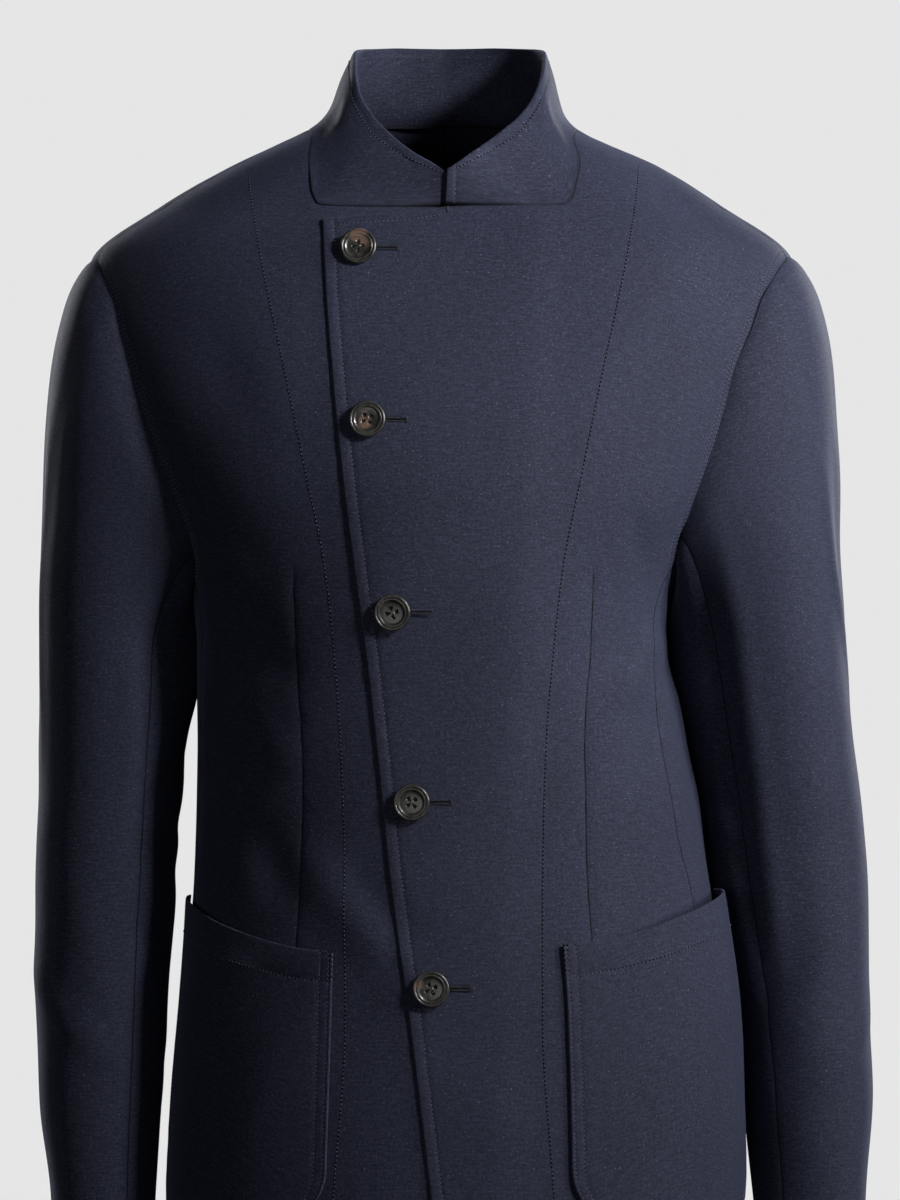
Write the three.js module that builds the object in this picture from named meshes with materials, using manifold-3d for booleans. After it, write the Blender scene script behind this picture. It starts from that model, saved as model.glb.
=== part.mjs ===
// An asymmetric jacket with a stand collar, a diagonal overlap with five buttons, patch pockets and
// two-piece sleeves, in the hollow form that it has when it is worn.
// Millimetres. +Z is up, the front looks along -Y and the wearer's left side is +X. The origin is the
// middle of the neck's base, where the shoulders carry the jacket.
// A place on the body is a turn in degrees and a height: turn 0 is the centre front, 90 the wearer's left
// side, -90 the wearer's right side and 180 the centre back.
import * as THREE from "three";
import Module from "manifold-3d";
import { mergeVertices } from "three/addons/utils/BufferGeometryUtils.js";

// Cloth and seams
const CLOTH = 1.8;
const COLLAR_CLOTH = 2.6;
const SEAM = 0.3;
const LAID_ON = 0.85;
const ARMHOLE_GAP = { cap: 0.6, underarm: 0.7 };
const SQUARENESS = 2.25;

// Body rings: half-widths to the wearer's right and left, depths to the front and the back
const BODY = [
  { z: 16, right: 70, left: 70, front: 58, back: 61 },
  { z: 8, right: 82, left: 82, front: 60, back: 67 },
  { z: 0, right: 98, left: 95, front: 62, back: 72 },
  { z: -20, right: 140, left: 140, front: 69, back: 86 },
  { z: -45, right: 183, left: 179.5, front: 80, back: 100 },
  { z: -79, right: 228, left: 225, front: 98, back: 112 },
  { z: -100, right: 234, left: 231, front: 106, back: 116 },
  { z: -120, right: 233, left: 231, front: 113, back: 120 },
  { z: -160, right: 224, left: 222, front: 125, back: 125 },
  { z: -200, right: 209, left: 206.5, front: 134, back: 127 },
  { z: -240, right: 190, left: 184, front: 138, back: 125 },
  { z: -275, right: 172.5, left: 159, front: 138, back: 120 },
  { z: -300, right: 164.5, left: 148, front: 137, back: 115 },
  { z: -330, right: 160.5, left: 144.5, front: 134, back: 110 },
  { z: -365, right: 160, left: 153, front: 131, back: 106 },
  { z: -400, right: 159.5, left: 159, front: 129, back: 103 },
  { z: -430, right: 160, left: 165, front: 128, back: 103 },
  { z: -462, right: 161.5, left: 169, front: 127, back: 105 },
  { z: -495, right: 163.5, left: 174.5, front: 127, back: 109 },
  { z: -560, right: 168.5, left: 185.5, front: 128, back: 119 },
  { z: -625, right: 173.5, left: 191, front: 130, back: 126 },
  { z: -690, right: 178.5, left: 194.5, front: 131, back: 130 },
  { z: -750, right: 184, left: 197, front: 131, back: 131 },
];
const HEM_Z = -750;
const HEM_ROWS = 13;

// Steps over which the outward direction of each kind of surface is measured
const PROBE = { turn: 0.4, z: 1, station: 0.01, rise: 0.02, swing: 1, down: 0.02 };

// Neck seam from the nape (at 0) round the side to the centre front (at 1)
const NECK_SEAM = [
  { at: 0, turn: 180, z: 15 },
  { at: 0.14, turn: 154.5, z: 14 },
  { at: 0.27, turn: 133, z: 11 },
  { at: 0.38, turn: 111, z: 8 },
  { at: 0.48, turn: 92, z: 5.6 },
  { at: 0.56, turn: 78, z: 4.4 },
  { at: 0.61, turn: 56, z: -1.5 },
  { at: 0.66, turn: 41.6, z: -12 },
  { at: 0.72, turn: 30, z: -30 },
  { at: 0.775, turn: 24.4, z: -44 },
  { at: 0.8, turn: 22, z: -49 },
  { at: 0.86, turn: 15.5, z: -50.3 },
  { at: 0.93, turn: 7, z: -50.6 },
  { at: 1, turn: 0, z: -49.5 },
  { at: 1.06, turn: -3, z: -49.5 },
];
// Top edge of the collar over the same stations; right and left are distances from the centre
const COLLAR_TOP = [
  { at: 0, right: 0, left: 0, y: 57, z: 64 },
  { at: 0.14, right: 27, left: 28, y: 52, z: 64 },
  { at: 0.27, right: 45, left: 49, y: 40, z: 62.5 },
  { at: 0.38, right: 56, left: 62, y: 21, z: 60 },
  { at: 0.48, right: 58, left: 65.6, y: -2, z: 56 },
  { at: 0.56, right: 57.6, left: 65, y: -24, z: 45 },
  { at: 0.66, right: 55, left: 60, y: -45, z: 28 },
  { at: 0.74, right: 46.5, left: 50, y: -56, z: 11.5 },
  { at: 0.82, right: 35, left: 35.5, y: -65, z: -2 },
  { at: 0.9, right: 20.5, left: 20, y: -73, z: -14.5 },
  { at: 0.97, right: 5, left: 7, y: -78.5, z: -24 },
  { at: 1, right: 0, left: 1.6, y: -79.5, z: -27.5 },
  { at: 1.06, right: -12, left: -12, y: -79.5, z: -32 },
];
const COLLAR_ROWS = 6;
const COLLAR_HEIGHT = 50;
const COLLAR_HOLLOW = { side: 14, front: 3, fade: 2.4, from: 0.6, to: 0.85 };
const COLLAR_END = { under: -1.055, over: 0.992 };
const COLLAR_LAP = { from: 0.84, to: 0.93, lift: 3 };

// Armhole seam round each side: swing 0 is the shoulder point, 90 the front, 180 the underarm, 270 the back
const ARMHOLE = [
  { swing: 8, rightTurn: 78, rightZ: -79.6, leftTurn: 78, leftZ: -79.6 },
  { swing: 20, rightTurn: 69, rightZ: -91, leftTurn: 67, leftZ: -91 },
  { swing: 33, rightTurn: 62.4, rightZ: -115, leftTurn: 59, leftZ: -112 },
  { swing: 58, rightTurn: 60, rightZ: -166, leftTurn: 53.2, leftZ: -163 },
  { swing: 84, rightTurn: 59.8, rightZ: -214, leftTurn: 54.2, leftZ: -210 },
  { swing: 109, rightTurn: 62, rightZ: -257, leftTurn: 58.5, leftZ: -247 },
  { swing: 122, rightTurn: 65, rightZ: -272, leftTurn: 61, leftZ: -261 },
  { swing: 140, rightTurn: 70.5, rightZ: -286, leftTurn: 67, leftZ: -275 },
  { swing: 160, rightTurn: 80, rightZ: -292, leftTurn: 78, leftZ: -285 },
  { swing: 180, rightTurn: 91, rightZ: -293, leftTurn: 91, leftZ: -288 },
  { swing: 200, rightTurn: 103, rightZ: -290, leftTurn: 103, leftZ: -286 },
  { swing: 215, rightTurn: 111, rightZ: -284, leftTurn: 111, leftZ: -280 },
  { swing: 239, rightTurn: 120, rightZ: -254, leftTurn: 120, leftZ: -252 },
  { swing: 262, rightTurn: 122.5, rightZ: -212, leftTurn: 122.5, leftZ: -211 },
  { swing: 286, rightTurn: 121, rightZ: -166, leftTurn: 121, leftZ: -166 },
  { swing: 309, rightTurn: 116, rightZ: -121, leftTurn: 116, leftZ: -121 },
  { swing: 333, rightTurn: 104, rightZ: -90, leftTurn: 104, leftZ: -90 },
  { swing: 351, rightTurn: 92, rightZ: -81.5, leftTurn: 92, leftZ: -81.5 },
  { swing: 368, rightTurn: 78, rightZ: -79.6, leftTurn: 78, leftZ: -79.6 },
];
const SWINGS = { shoulder: 8, forearmSeam: 122, frontSeam: 140, backSeam: 215, hindarmSeam: 262 };

// Front and side panel seam, and back and side panel seam
const FRONT_SEAM = [
  { z: -275, right: 70.5, left: 67 },
  { z: -330, right: 75, left: 63.4 },
  { z: -390, right: 77, left: 60 },
  { z: -443, right: 78, left: 60.7 },
  { z: -490, right: 79, left: 64.5 },
  { z: -750, right: 79, left: 66 },
];
const BACK_SEAM = [
  { z: -280, right: 111, left: 111 },
  { z: -340, right: 113, left: 114 },
  { z: -430, right: 115, left: 117 },
  { z: -560, right: 115, left: 116 },
  { z: -750, right: 113, left: 113 },
];

// Leading edge of the left front, the edge of the right front hidden under it, and the dart line
const FRONT_EDGES = [
  { z: -49, leading: -76.8, hidden: 52, dart: 84 },
  { z: -88, leading: -75.2, hidden: 49, dart: 87 },
  { z: -153, leading: -70.2, hidden: 46, dart: 91 },
  { z: -215, leading: -64, hidden: 43, dart: 93.5 },
  { z: -277, leading: -56.2, hidden: 41, dart: 94 },
  { z: -334, leading: -48.4, hidden: 38, dart: 92.5 },
  { z: -400, leading: -41, hidden: 35, dart: 88.5 },
  { z: -469, leading: -34.1, hidden: 32, dart: 90 },
  { z: -562, leading: -21.6, hidden: 28, dart: 96 },
  { z: -674, leading: -7.9, hidden: 24, dart: 98 },
  { z: -750, leading: 1, hidden: 21, dart: 98 },
];
// The line that a front's two blocks share ends its run beside the armhole this far above the side seam
const BLOCK_LINE_LIFT = 12;
// Top edge of the overlap, from its outer corner to the neck seam
const OVERLAP_TOP = [
  { x: -77, z: -59.5 },
  { x: -49.6, z: -57.2 },
  { x: -23.7, z: -55.5 },
  { x: -3, z: -52.6 },
  { x: 4, z: -50.4 },
  { x: 30, z: -50.9 },
  { x: 62, z: -50.6 },
];
const OVERLAP = { lift: 2.6, clear: 3, fade: 30 };
const LAP_COLUMNS = { left: 5, right: 3 };
const LEVEL_ROWS = 3;
const HIDDEN_TOP = { drop: 1.6, slope: 0.12 };

// Shoulder seam, from the neck to the shoulder point, a little in front of the ridge
const SHOULDER_SEAM = { turn: 78, top: 4.4, bottom: -79.6, columns: 5 };

// Sleeve cap: direction and strength of the cloth where it leaves the armhole, and its pull into the arm
const CAP = [
  { swing: 0, out: 0.8, forward: 0, down: 0.66, start: 104, end: 300 },
  { swing: 45, out: 0.9, forward: 0.2, down: 0.38, start: 92, end: 240 },
  { swing: 90, out: 0.95, forward: 0.16, down: 0.24, start: 62, end: 110 },
  { swing: 135, out: 0.78, forward: 0.5, down: 0.26, start: 26, end: 50 },
  { swing: 180, out: 1, forward: 0, down: 0.06, start: 20, end: 40 },
  { swing: 225, out: 0.75, forward: -0.6, down: 0.26, start: 28, end: 52 },
  { swing: 270, out: 0.94, forward: -0.26, down: 0.24, start: 68, end: 125 },
  { swing: 315, out: 0.86, forward: -0.3, down: 0.42, start: 98, end: 245 },
  { swing: 360, out: 0.8, forward: 0, down: 0.66, start: 104, end: 300 },
];
// Sleeve sections: distance of the middle from the centre, half-widths, place and half-depth front to back
const SLEEVE = [
  { z: -330, rightX: 213, rightHalf: 49, leftX: 204, leftHalf: 55.8, rightY: 0, leftY: 8, deep: 63 },
  { z: -365, rightX: 213.8, rightHalf: 47.3, leftX: 209, leftHalf: 54.4, rightY: 1, leftY: 14, deep: 61 },
  { z: -400, rightX: 215.6, rightHalf: 45.9, leftX: 213.8, leftHalf: 53.2, rightY: 2, leftY: 20, deep: 59 },
  { z: -430, rightX: 216.8, rightHalf: 44.8, leftX: 218.2, leftHalf: 52.6, rightY: 3, leftY: 24, deep: 57.5 },
  { z: -462, rightX: 218.3, rightHalf: 44.1, leftX: 221.6, leftHalf: 51.8, rightY: 3, leftY: 26, deep: 56 },
  { z: -495, rightX: 220, rightHalf: 43.4, leftX: 225.8, leftHalf: 49.8, rightY: 3, leftY: 26, deep: 54 },
  { z: -560, rightX: 222.1, rightHalf: 41.2, leftX: 232.6, leftHalf: 43.6, rightY: 0, leftY: 25, deep: 51.5 },
  { z: -625, rightX: 222.2, rightHalf: 37.4, leftX: 237.4, leftHalf: 40.4, rightY: -5, leftY: 22, deep: 48 },
  { z: -682, rightX: 220.6, rightHalf: 31.9, leftX: 238.4, leftHalf: 35.2, rightY: -11, leftY: 17, deep: 44 },
  { z: -715, rightX: 219.8, rightHalf: 30.5, leftX: 238.6, leftHalf: 33, rightY: -15, leftY: 13, deep: 42.5 },
];
const SLEEVE_ROWS = { cap: 7, capCrowding: 1.25, arm: 10 };
const SLEEVE_SQUARENESS = 2.1;

// Patch pockets: inner edge, width round the body, mouth heights at its two ends, and the gaping mouth
const POCKETS = {
  left: { innerX: 78, width: 165, mouthInner: -515.5, mouthOuter: -487, bottom: -692, bulge: 11 },
  right: { innerX: -71, width: 165, mouthInner: -519.5, mouthOuter: -491, bottom: -692, bulge: 3.4 },
};
const POCKET_CORNER = 36;
const POCKET_PUFF = { skew: 2.1, across: 0.8, down: 1.6 };
const POCKET_REST_Z = -600;
const POCKET_COLUMNS = 11;
const POCKET_ROWS = [0, 0.1, 0.24, 0.4, 0.56, 0.7, 0.8, 0.87, 0.93, 0.975, 1];

// Buttons and their buttonholes
const BUTTON_PLACES = [
  { x: -53.4, z: -78 },
  { x: -47.2, z: -188 },
  { x: -31.6, z: -307.5 },
  { x: -19.8, z: -426 },
  { x: -7.9, z: -542.4 },
];
const BUTTON = { radius: 11.5, segments: 16, stand: 1, shankRadius: 1.3 };
// Button section from its underside's edge to its middle: in from the rim and up from the underside
const BUTTON_PROFILE = [
  { inset: 2.4, height: 0 },
  { inset: 0, height: 1.6 },
  { inset: 0.4, height: 3 },
  { inset: 1.6, height: 3.5 },
  { inset: 2.5, height: 2.9 },
  { inset: 3.6, height: 3.1 },
  { inset: 4.8, height: 2.3 },
  { inset: BUTTON.radius, height: 2.1 },
];
const THREAD_HOLES = { count: 4, radius: 1, circle: 3.2, sides: 6, length: 7, middle: 4.5 };
const BUTTONHOLE = { before: 2.5, after: 24, width: 3.3, depth: 7 };

// Largest folds as ridges (height over 0) and troughs (under 0) between two places on a face
const FOLDS = [
  { face: "front", x1: 136, z1: -322, x2: 112, z2: -362, width: 13, height: 4 },
  { face: "front", x1: 124, z1: -330, x2: 84, z2: -372, width: 12, height: -2.4 },
  { face: "front", x1: -86, z1: -462, x2: -34, z2: -528, width: 15, height: 2.8 },
  { face: "front", x1: -120, z1: -440, x2: -98, z2: -488, width: 13, height: -2.2 },
  { face: "front", x1: -140, z1: -305, x2: -96, z2: -352, width: 15, height: -2.6 },
  { face: "back", x1: -132, z1: -300, x2: -104, z2: -372, width: 15, height: 3 },
  { face: "back", x1: 134, z1: -296, x2: 100, z2: -378, width: 15, height: 3 },
  { face: "back", x1: -118, z1: -424, x2: -46, z2: -446, width: 14, height: -2.6 },
  { face: "back", x1: 122, z1: -416, x2: 40, z2: -452, width: 15, height: -3 },
  { face: "back", x1: 110, z1: -452, x2: 54, z2: -482, width: 15, height: 2.4 },
];
// Sleeve creases: middle swing and half-span in degrees, the height there and how far it climbs forward
const CREASES = [
  { side: "right", swing: 176, span: 62, z: -446, climb: 16, width: 12, height: -3 },
  { side: "right", swing: 190, span: 58, z: -476, climb: -10, width: 12, height: -2.6 },
  { side: "right", swing: 60, span: 50, z: -566, climb: -26, width: 14, height: 2 },
  { side: "left", swing: 172, span: 60, z: -452, climb: 18, width: 12, height: -3 },
  { side: "left", swing: 196, span: 56, z: -486, climb: -14, width: 12, height: -2.4 },
  { side: "left", swing: 62, span: 52, z: -600, climb: -34, width: 14, height: 2.4 },
];

const COLOURS = { cloth: 0x232733, button: 0x3a302b };

const wasm = await Module();
wasm.setup();

const radians = THREE.MathUtils.degToRad;
const degrees = THREE.MathUtils.radToDeg;
const mix = THREE.MathUtils.lerp;
const ease = THREE.MathUtils.smoothstep;

/** Whole steps from 0 to 1. */
const steps = (count) => Array.from({ length: count + 1 }, (_, i) => i / count);

/** One column of a table as a function of its key, on a monotone cubic that holds its end values. */
function column(rows, key, name) {
  const sorted = [...rows].sort((a, b) => a[key] - b[key]);
  const x = sorted.map((row) => row[key]);
  const y = sorted.map((row) => row[name]);
  const last = x.length - 1;
  const rise = x.slice(1).map((_, i) => (y[i + 1] - y[i]) / (x[i + 1] - x[i]));
  const slope = x.map((_, i) => {
    if (i === 0) return rise[0];
    if (i === last) return rise[last - 1];
    const [a, b] = [rise[i - 1], rise[i]];
    return a * b > 0 ? (2 * a * b) / (a + b) : 0;
  });
  return (at) => {
    if (at <= x[0]) return y[0];
    if (at >= x[last]) return y[last];
    const i = x.findIndex((value) => value > at) - 1;
    const span = x[i + 1] - x[i];
    const t = (at - x[i]) / span;
    const u = 1 - t;
    return (
      y[i] * u * u * (1 + 2 * t) +
      y[i + 1] * t * t * (3 - 2 * t) +
      span * (slope[i] * t * u * u - slope[i + 1] * t * t * u)
    );
  };
}

const body = {
  right: column(BODY, "z", "right"),
  left: column(BODY, "z", "left"),
  front: column(BODY, "z", "front"),
  back: column(BODY, "z", "back"),
};
const neckTurn = column(NECK_SEAM, "at", "turn");
const neckZ = column(NECK_SEAM, "at", "z");
const collarTop = {
  right: column(COLLAR_TOP, "at", "right"),
  left: column(COLLAR_TOP, "at", "left"),
  y: column(COLLAR_TOP, "at", "y"),
  z: column(COLLAR_TOP, "at", "z"),
};
const edge = {
  leading: column(FRONT_EDGES, "z", "leading"),
  hidden: column(FRONT_EDGES, "z", "hidden"),
  dart: column(FRONT_EDGES, "z", "dart"),
};
const overlapTop = column(OVERLAP_TOP, "x", "z");

/** A number pulled to a power with its sign kept. */
const signedPower = (value, power) => Math.sign(value) * Math.abs(value) ** power;

/** The body ring at a height is a superellipse whose four half-axes come from the body table. */
function torso(turn, z) {
  const s = Math.sin(radians(turn));
  const c = Math.cos(radians(turn));
  const wide = s < 0 ? body.right(z) : body.left(z);
  const deep = c > 0 ? body.front(z) : body.back(z);
  const round = 2 / SQUARENESS;
  return new THREE.Vector3(wide * signedPower(s, round), -deep * signedPower(c, round), z);
}

/** Outward direction of a surface of two parameters, from small steps along both. */
function facing(surface, u, v, stepU, stepV) {
  const alongU = surface(u + stepU, v).sub(surface(u - stepU, v));
  const alongV = surface(u, v + stepV).sub(surface(u, v - stepV));
  return alongU.cross(alongV).normalize();
}

/** Turn of the point of the front whose distance from the centre is x. */
function turnOf(x, z) {
  const wide = x < 0 ? body.right(z) : body.left(z);
  return degrees(Math.asin(signedPower(x / wide, SQUARENESS / 2)));
}

/** Bump across a line between two places: a bell across it, faded out towards both ends. */
function foldHeight(fold, x, z) {
  const dx = fold.x2 - fold.x1;
  const dz = fold.z2 - fold.z1;
  const length = Math.hypot(dx, dz);
  const along = ((x - fold.x1) * dx + (z - fold.z1) * dz) / length ** 2;
  const across = ((x - fold.x1) * dz - (z - fold.z1) * dx) / length;
  const fade = Math.exp(-(((along - 0.5) / 0.5) ** 4));
  return fold.height * Math.exp(-((across / fold.width) ** 2)) * fade;
}

/** A place on the body's cloth, a distance outside its plain surface, with the folds of that face. */
function onBody(turn, z, out = 0) {
  const point = torso(turn, z);
  const normal = facing(torso, turn, z, PROBE.turn, PROBE.z);
  const face = Math.cos(radians(turn)) > 0 ? "front" : "back";
  const folds = FOLDS.filter((fold) => fold.face === face);
  const lift = folds.reduce((sum, fold) => sum + foldHeight(fold, point.x, z), out);
  return { point: point.addScaledVector(normal, lift), normal };
}

/** Turn moved along the ring by a distance in millimetres. */
function shifted(turn, z, distance) {
  const perDegree = torso(turn + 0.5, z).distanceTo(torso(turn - 0.5, z));
  return turn + distance / perDegree;
}

/** Grid of places between four border lines: a blend of the side lines, bent to the top and bottom lines
 *  with a pull that fades fast away from them. */
function between(top, bottom, inner, outer) {
  const rows = inner.length - 1;
  const columns = top.length - 1;
  const bend = (line, s, k, name) => line[k][name] - mix(line[0][name], line[columns][name], s);
  return inner.map((start, j) =>
    top.map((_, i) => {
      const s = i / columns;
      const t = j / rows;
      const place = {};
      for (const name of ["turn", "z"])
        place[name] =
          mix(start[name], outer[j][name], s) +
          (1 - t) ** 3 * bend(top, s, i, name) +
          t ** 3 * bend(bottom, s, i, name);
      return place;
    }),
  );
}

/** Hem places in even steps between the last places of two side lines. */
function hemLine(inner, outer, columns) {
  return steps(columns).map((s) => ({ turn: mix(inner.at(-1).turn, outer.at(-1).turn, s), z: HEM_Z }));
}

/** Closed wall from grids of points with outward normals: the grids are its outer face, points that two
 *  grids share become one, the inner face lies one thickness below, and a rim joins them all round. */
function wall(grids, thickness) {
  const index = new Map();
  const outer = [];
  const inner = [];
  const weld = ({ point, normal }) => {
    const key = point.toArray().map((value) => value.toFixed(3)).join();
    if (!index.has(key)) {
      index.set(key, outer.length);
      outer.push(point);
      inner.push(point.clone().addScaledVector(normal, -thickness));
    }
    return index.get(key);
  };
  const faces = [];
  for (const grid of grids) {
    const ids = grid.map((row) => row.map(weld));
    for (let j = 0; j + 1 < ids.length; j++)
      for (let i = 0; i + 1 < ids[j].length; i++)
        faces.push(...splitQuad(outer, ids[j][i], ids[j][i + 1], ids[j + 1][i + 1], ids[j + 1][i]));
  }
  const sample = grids[0][1][1];
  const [a, b, c] = faces[0].map((k) => outer[k]);
  const turned = b.clone().sub(a).cross(c.clone().sub(a)).dot(sample.normal) < 0;
  if (turned) faces.forEach((face) => face.reverse());

  const count = outer.length;
  const triangles = faces.flatMap((face) => [...face, ...face.map((k) => k + count).reverse()]);
  const edges = new Set(faces.flatMap(([p, q, r]) => [`${p},${q}`, `${q},${r}`, `${r},${p}`]));
  for (const side of edges) {
    const [p, q] = side.split(",").map(Number);
    if (!edges.has(`${q},${p}`)) triangles.push(q, p, p + count, q, p + count, q + count);
  }
  const positions = [...outer, ...inner].flatMap((point) => point.toArray());
  return new THREE.BufferGeometry()
    .setAttribute("position", new THREE.Float32BufferAttribute(positions, 3))
    .setIndex(triangles);
}

/** Two triangles of a four-sided face, split along its shorter diagonal. */
function splitQuad(points, a, b, c, d) {
  const short = points[a].distanceToSquared(points[c]) <= points[b].distanceToSquared(points[d]);
  return short ? [[a, b, c], [a, c, d]] : [[a, b, d], [b, c, d]];
}

/** A closed geometry as a manifold solid. */
function solid(geometry) {
  const bare = geometry.clone();
  bare.deleteAttribute("normal");
  bare.deleteAttribute("uv");
  const merged = mergeVertices(bare, 1e-4);
  const mesh = new wasm.Mesh({
    numProp: 3,
    vertProperties: merged.attributes.position.array,
    triVerts: new Uint32Array(merged.index.array),
  });
  return new wasm.Manifold(mesh);
}

/** A geometry with others cut out of it. */
function cut(geometry, cutters) {
  const left = cutters.reduce((rest, cutter) => rest.subtract(solid(cutter)), solid(geometry));
  const mesh = left.getMesh();
  return new THREE.BufferGeometry()
    .setAttribute("position", new THREE.BufferAttribute(mesh.vertProperties, 3))
    .setIndex(new THREE.BufferAttribute(mesh.triVerts, 1));
}

// Stations that neighbours share, so that their seams run side by side
const NECK_BACK = [0, 0.12, 0.25, 0.37, 0.48, 0.56];
const NECK_SIDE = [0.56, 0.61, 0.66, 0.72, 0.775];
const NECK_FRONT = [0.8, 0.86, 0.93];

/** Swings between two named seams of the sleeve, in equal steps. */
const swings = (from, to, count) => steps(count).map((t) => mix(from, to, t));
const SWING_STATIONS = {
  front: [
    ...swings(SWINGS.shoulder, SWINGS.forearmSeam, 9),
    ...swings(SWINGS.forearmSeam, SWINGS.frontSeam, 2).slice(1),
  ],
  under: swings(SWINGS.frontSeam, SWINGS.backSeam, 6),
  back: [
    ...swings(SWINGS.backSeam, SWINGS.hindarmSeam, 4),
    ...swings(SWINGS.hindarmSeam, 360 + SWINGS.shoulder, 9).slice(1),
  ],
};

/** One side of the jacket: sign is 1 for the wearer's left and -1 for the right. */
class Half {
  constructor(name, sign) {
    this.name = name;
    this.sign = sign;
    this.holeTurn = column(ARMHOLE, "swing", name + "Turn");
    this.holeZ = column(ARMHOLE, "swing", name + "Z");
    this.frontSeam = column(FRONT_SEAM, "z", name);
    this.backSeam = column(BACK_SEAM, "z", name);
    this.sleeveX = column(SLEEVE, "z", name + "X");
    this.sleeveHalf = column(SLEEVE, "z", name + "Half");
    this.sleeveY = column(SLEEVE, "z", name + "Y");
    this.sleeveDeep = column(SLEEVE, "z", "deep");
    this.cap = Object.fromEntries(
      ["out", "forward", "down", "start", "end"].map((key) => [key, column(CAP, "swing", key)]),
    );
  }

  /** Armhole place at a swing, moved across the seam by the given distance round the body. */
  armhole(swing, across = 0) {
    const turn = this.holeTurn(swing);
    const z = this.holeZ(swing);
    return { turn: this.sign * shifted(turn, z, across), z };
  }

  /** Rows of a vertical seam from the armhole down to the hem, moved across it. */
  seamRows(seam, top, across) {
    return steps(HEM_ROWS).slice(1).map((t) => {
      const z = mix(top, HEM_Z, t);
      return { turn: this.sign * shifted(seam(z), z, across), z };
    });
  }

  /** Neck seam place, lowered by the given distance. */
  neck(at, down) {
    return { turn: this.sign * neckTurn(at), z: neckZ(at) - down };
  }

  /** Shoulder seam, on its front side or its back side. */
  shoulder(across) {
    const { turn, top, bottom, columns } = SHOULDER_SEAM;
    return steps(columns).map((t) => {
      const z = mix(top, bottom, t) - SEAM / 2;
      return { turn: this.sign * shifted(turn, z, across), z };
    });
  }

  /** Places as cloth points on the body, each lifted by its own amount. */
  cloth(places, lift = () => 0) {
    return places.map((row) =>
      row.map(({ turn, z }) => onBody(turn, z, lift(torso(turn, z).x, z))),
    );
  }

  /** Outer block of the front: shoulder seam, armhole, side seam, hem, and the line down from the collar. */
  frontOuter() {
    const top = this.shoulder(-SEAM / 2);
    const seamTop = this.holeZ(SWINGS.frontSeam);
    const outer = [
      ...SWING_STATIONS.front.map((swing) => this.armhole(swing, -SEAM / 2)),
      ...this.seamRows(this.frontSeam, seamTop, -SEAM / 2),
    ];
    const collarRows = NECK_SIDE.map((at) => this.neckSide(at));
    const corner = collarRows.at(-1);
    const armRows = outer.length - 1 - HEM_ROWS;
    const inner = outer.map((place, j) => {
      if (j < collarRows.length) return collarRows[j];
      const down = (j - collarRows.length + 1) / (armRows - collarRows.length + 1);
      const z = j <= armRows ? mix(corner.z, seamTop + BLOCK_LINE_LIFT, down) : place.z;
      return { turn: turnOf(this.sign * edge.dart(z), z), z };
    });
    top[0] = inner[0];
    top[top.length - 1] = outer[0];
    const bottom = hemLine(inner, outer, top.length - 1);
    return { grid: between(top, bottom, inner, outer), shared: inner.slice(NECK_SIDE.length - 1) };
  }

  /** Side of the neck opening, moved outwards from the collar by half a seam. */
  neckSide(at) {
    const z = neckZ(at) - SEAM / 2;
    return { turn: this.sign * shifted(neckTurn(at), z, SEAM / 2), z };
  }

  /** Inner block of the front, from its free edge to the line that it shares with the outer block. Its top
   *  runs level over the overlap and then along the neck seam. */
  frontInner(shared, edgeX, topZ) {
    const topEdge = edgeX(topZ(edgeX(SHOULDER_SEAM.bottom)));
    const lap = steps(LAP_COLUMNS[this.name]).map((s) => {
      const x = mix(topEdge, 0, s);
      return { turn: turnOf(x, topZ(x)), z: topZ(x) };
    });
    const top = [...lap, ...[...NECK_FRONT].reverse().map((at) => this.neck(at, SEAM / 2)), shared[0]];
    const inner = shared.map(({ z }, j) => {
      const height = j === 0 ? top[0].z : mix(top[0].z, z, Math.min(1, j / LEVEL_ROWS));
      return { turn: turnOf(edgeX(height), height), z: height };
    });
    inner[0] = top[0];
    return between(top, hemLine(inner, shared, top.length - 1), inner, shared);
  }

  /** Side panel between the two seams, under the armhole. */
  sidePanel() {
    const top = SWING_STATIONS.under.map((swing, i, list) => {
      const across = i === 0 ? SEAM / 2 : i === list.length - 1 ? -SEAM / 2 : 0;
      const place = this.armhole(swing, across);
      return { turn: place.turn, z: place.z - ARMHOLE_GAP.underarm };
    });
    const inner = [top[0], ...this.seamRows(this.frontSeam, top[0].z, SEAM / 2)];
    const outer = [top.at(-1), ...this.seamRows(this.backSeam, top.at(-1).z, -SEAM / 2)];
    const bottom = hemLine(inner, outer, top.length - 1);
    return wall([this.cloth(between(top, bottom, inner, outer))], CLOTH);
  }

  /** Back from the centre back seam to the armhole and the side seam, with the neck and shoulder on top. */
  backPanel() {
    const shoulder = this.shoulder(SEAM / 2);
    const top = [...NECK_BACK.map((at) => this.neck(at, SEAM / 2)), ...shoulder.slice(1)];
    const seamTop = this.holeZ(SWINGS.backSeam);
    const outer = [
      ...[...SWING_STATIONS.back].reverse().map((swing) => this.armhole(swing, SEAM / 2)),
      ...this.seamRows(this.backSeam, seamTop, SEAM / 2),
    ];
    top[NECK_BACK.length - 1] = { turn: shoulder[0].turn, z: neckZ(NECK_BACK.at(-1)) - SEAM / 2 };
    top[top.length - 1] = outer[0];
    const armRows = outer.length - 1 - HEM_ROWS;
    const centre = (z) => ({ turn: this.sign * shifted(180, z, -SEAM / 2), z });
    const inner = outer.map(({ z }, j) =>
      centre(j <= armRows ? mix(top[0].z, seamTop, j / armRows) : z),
    );
    top[0] = inner[0];
    const bottom = hemLine(inner, outer, top.length - 1);
    return wall([this.cloth(between(top, bottom, inner, outer))], CLOTH);
  }

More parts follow.
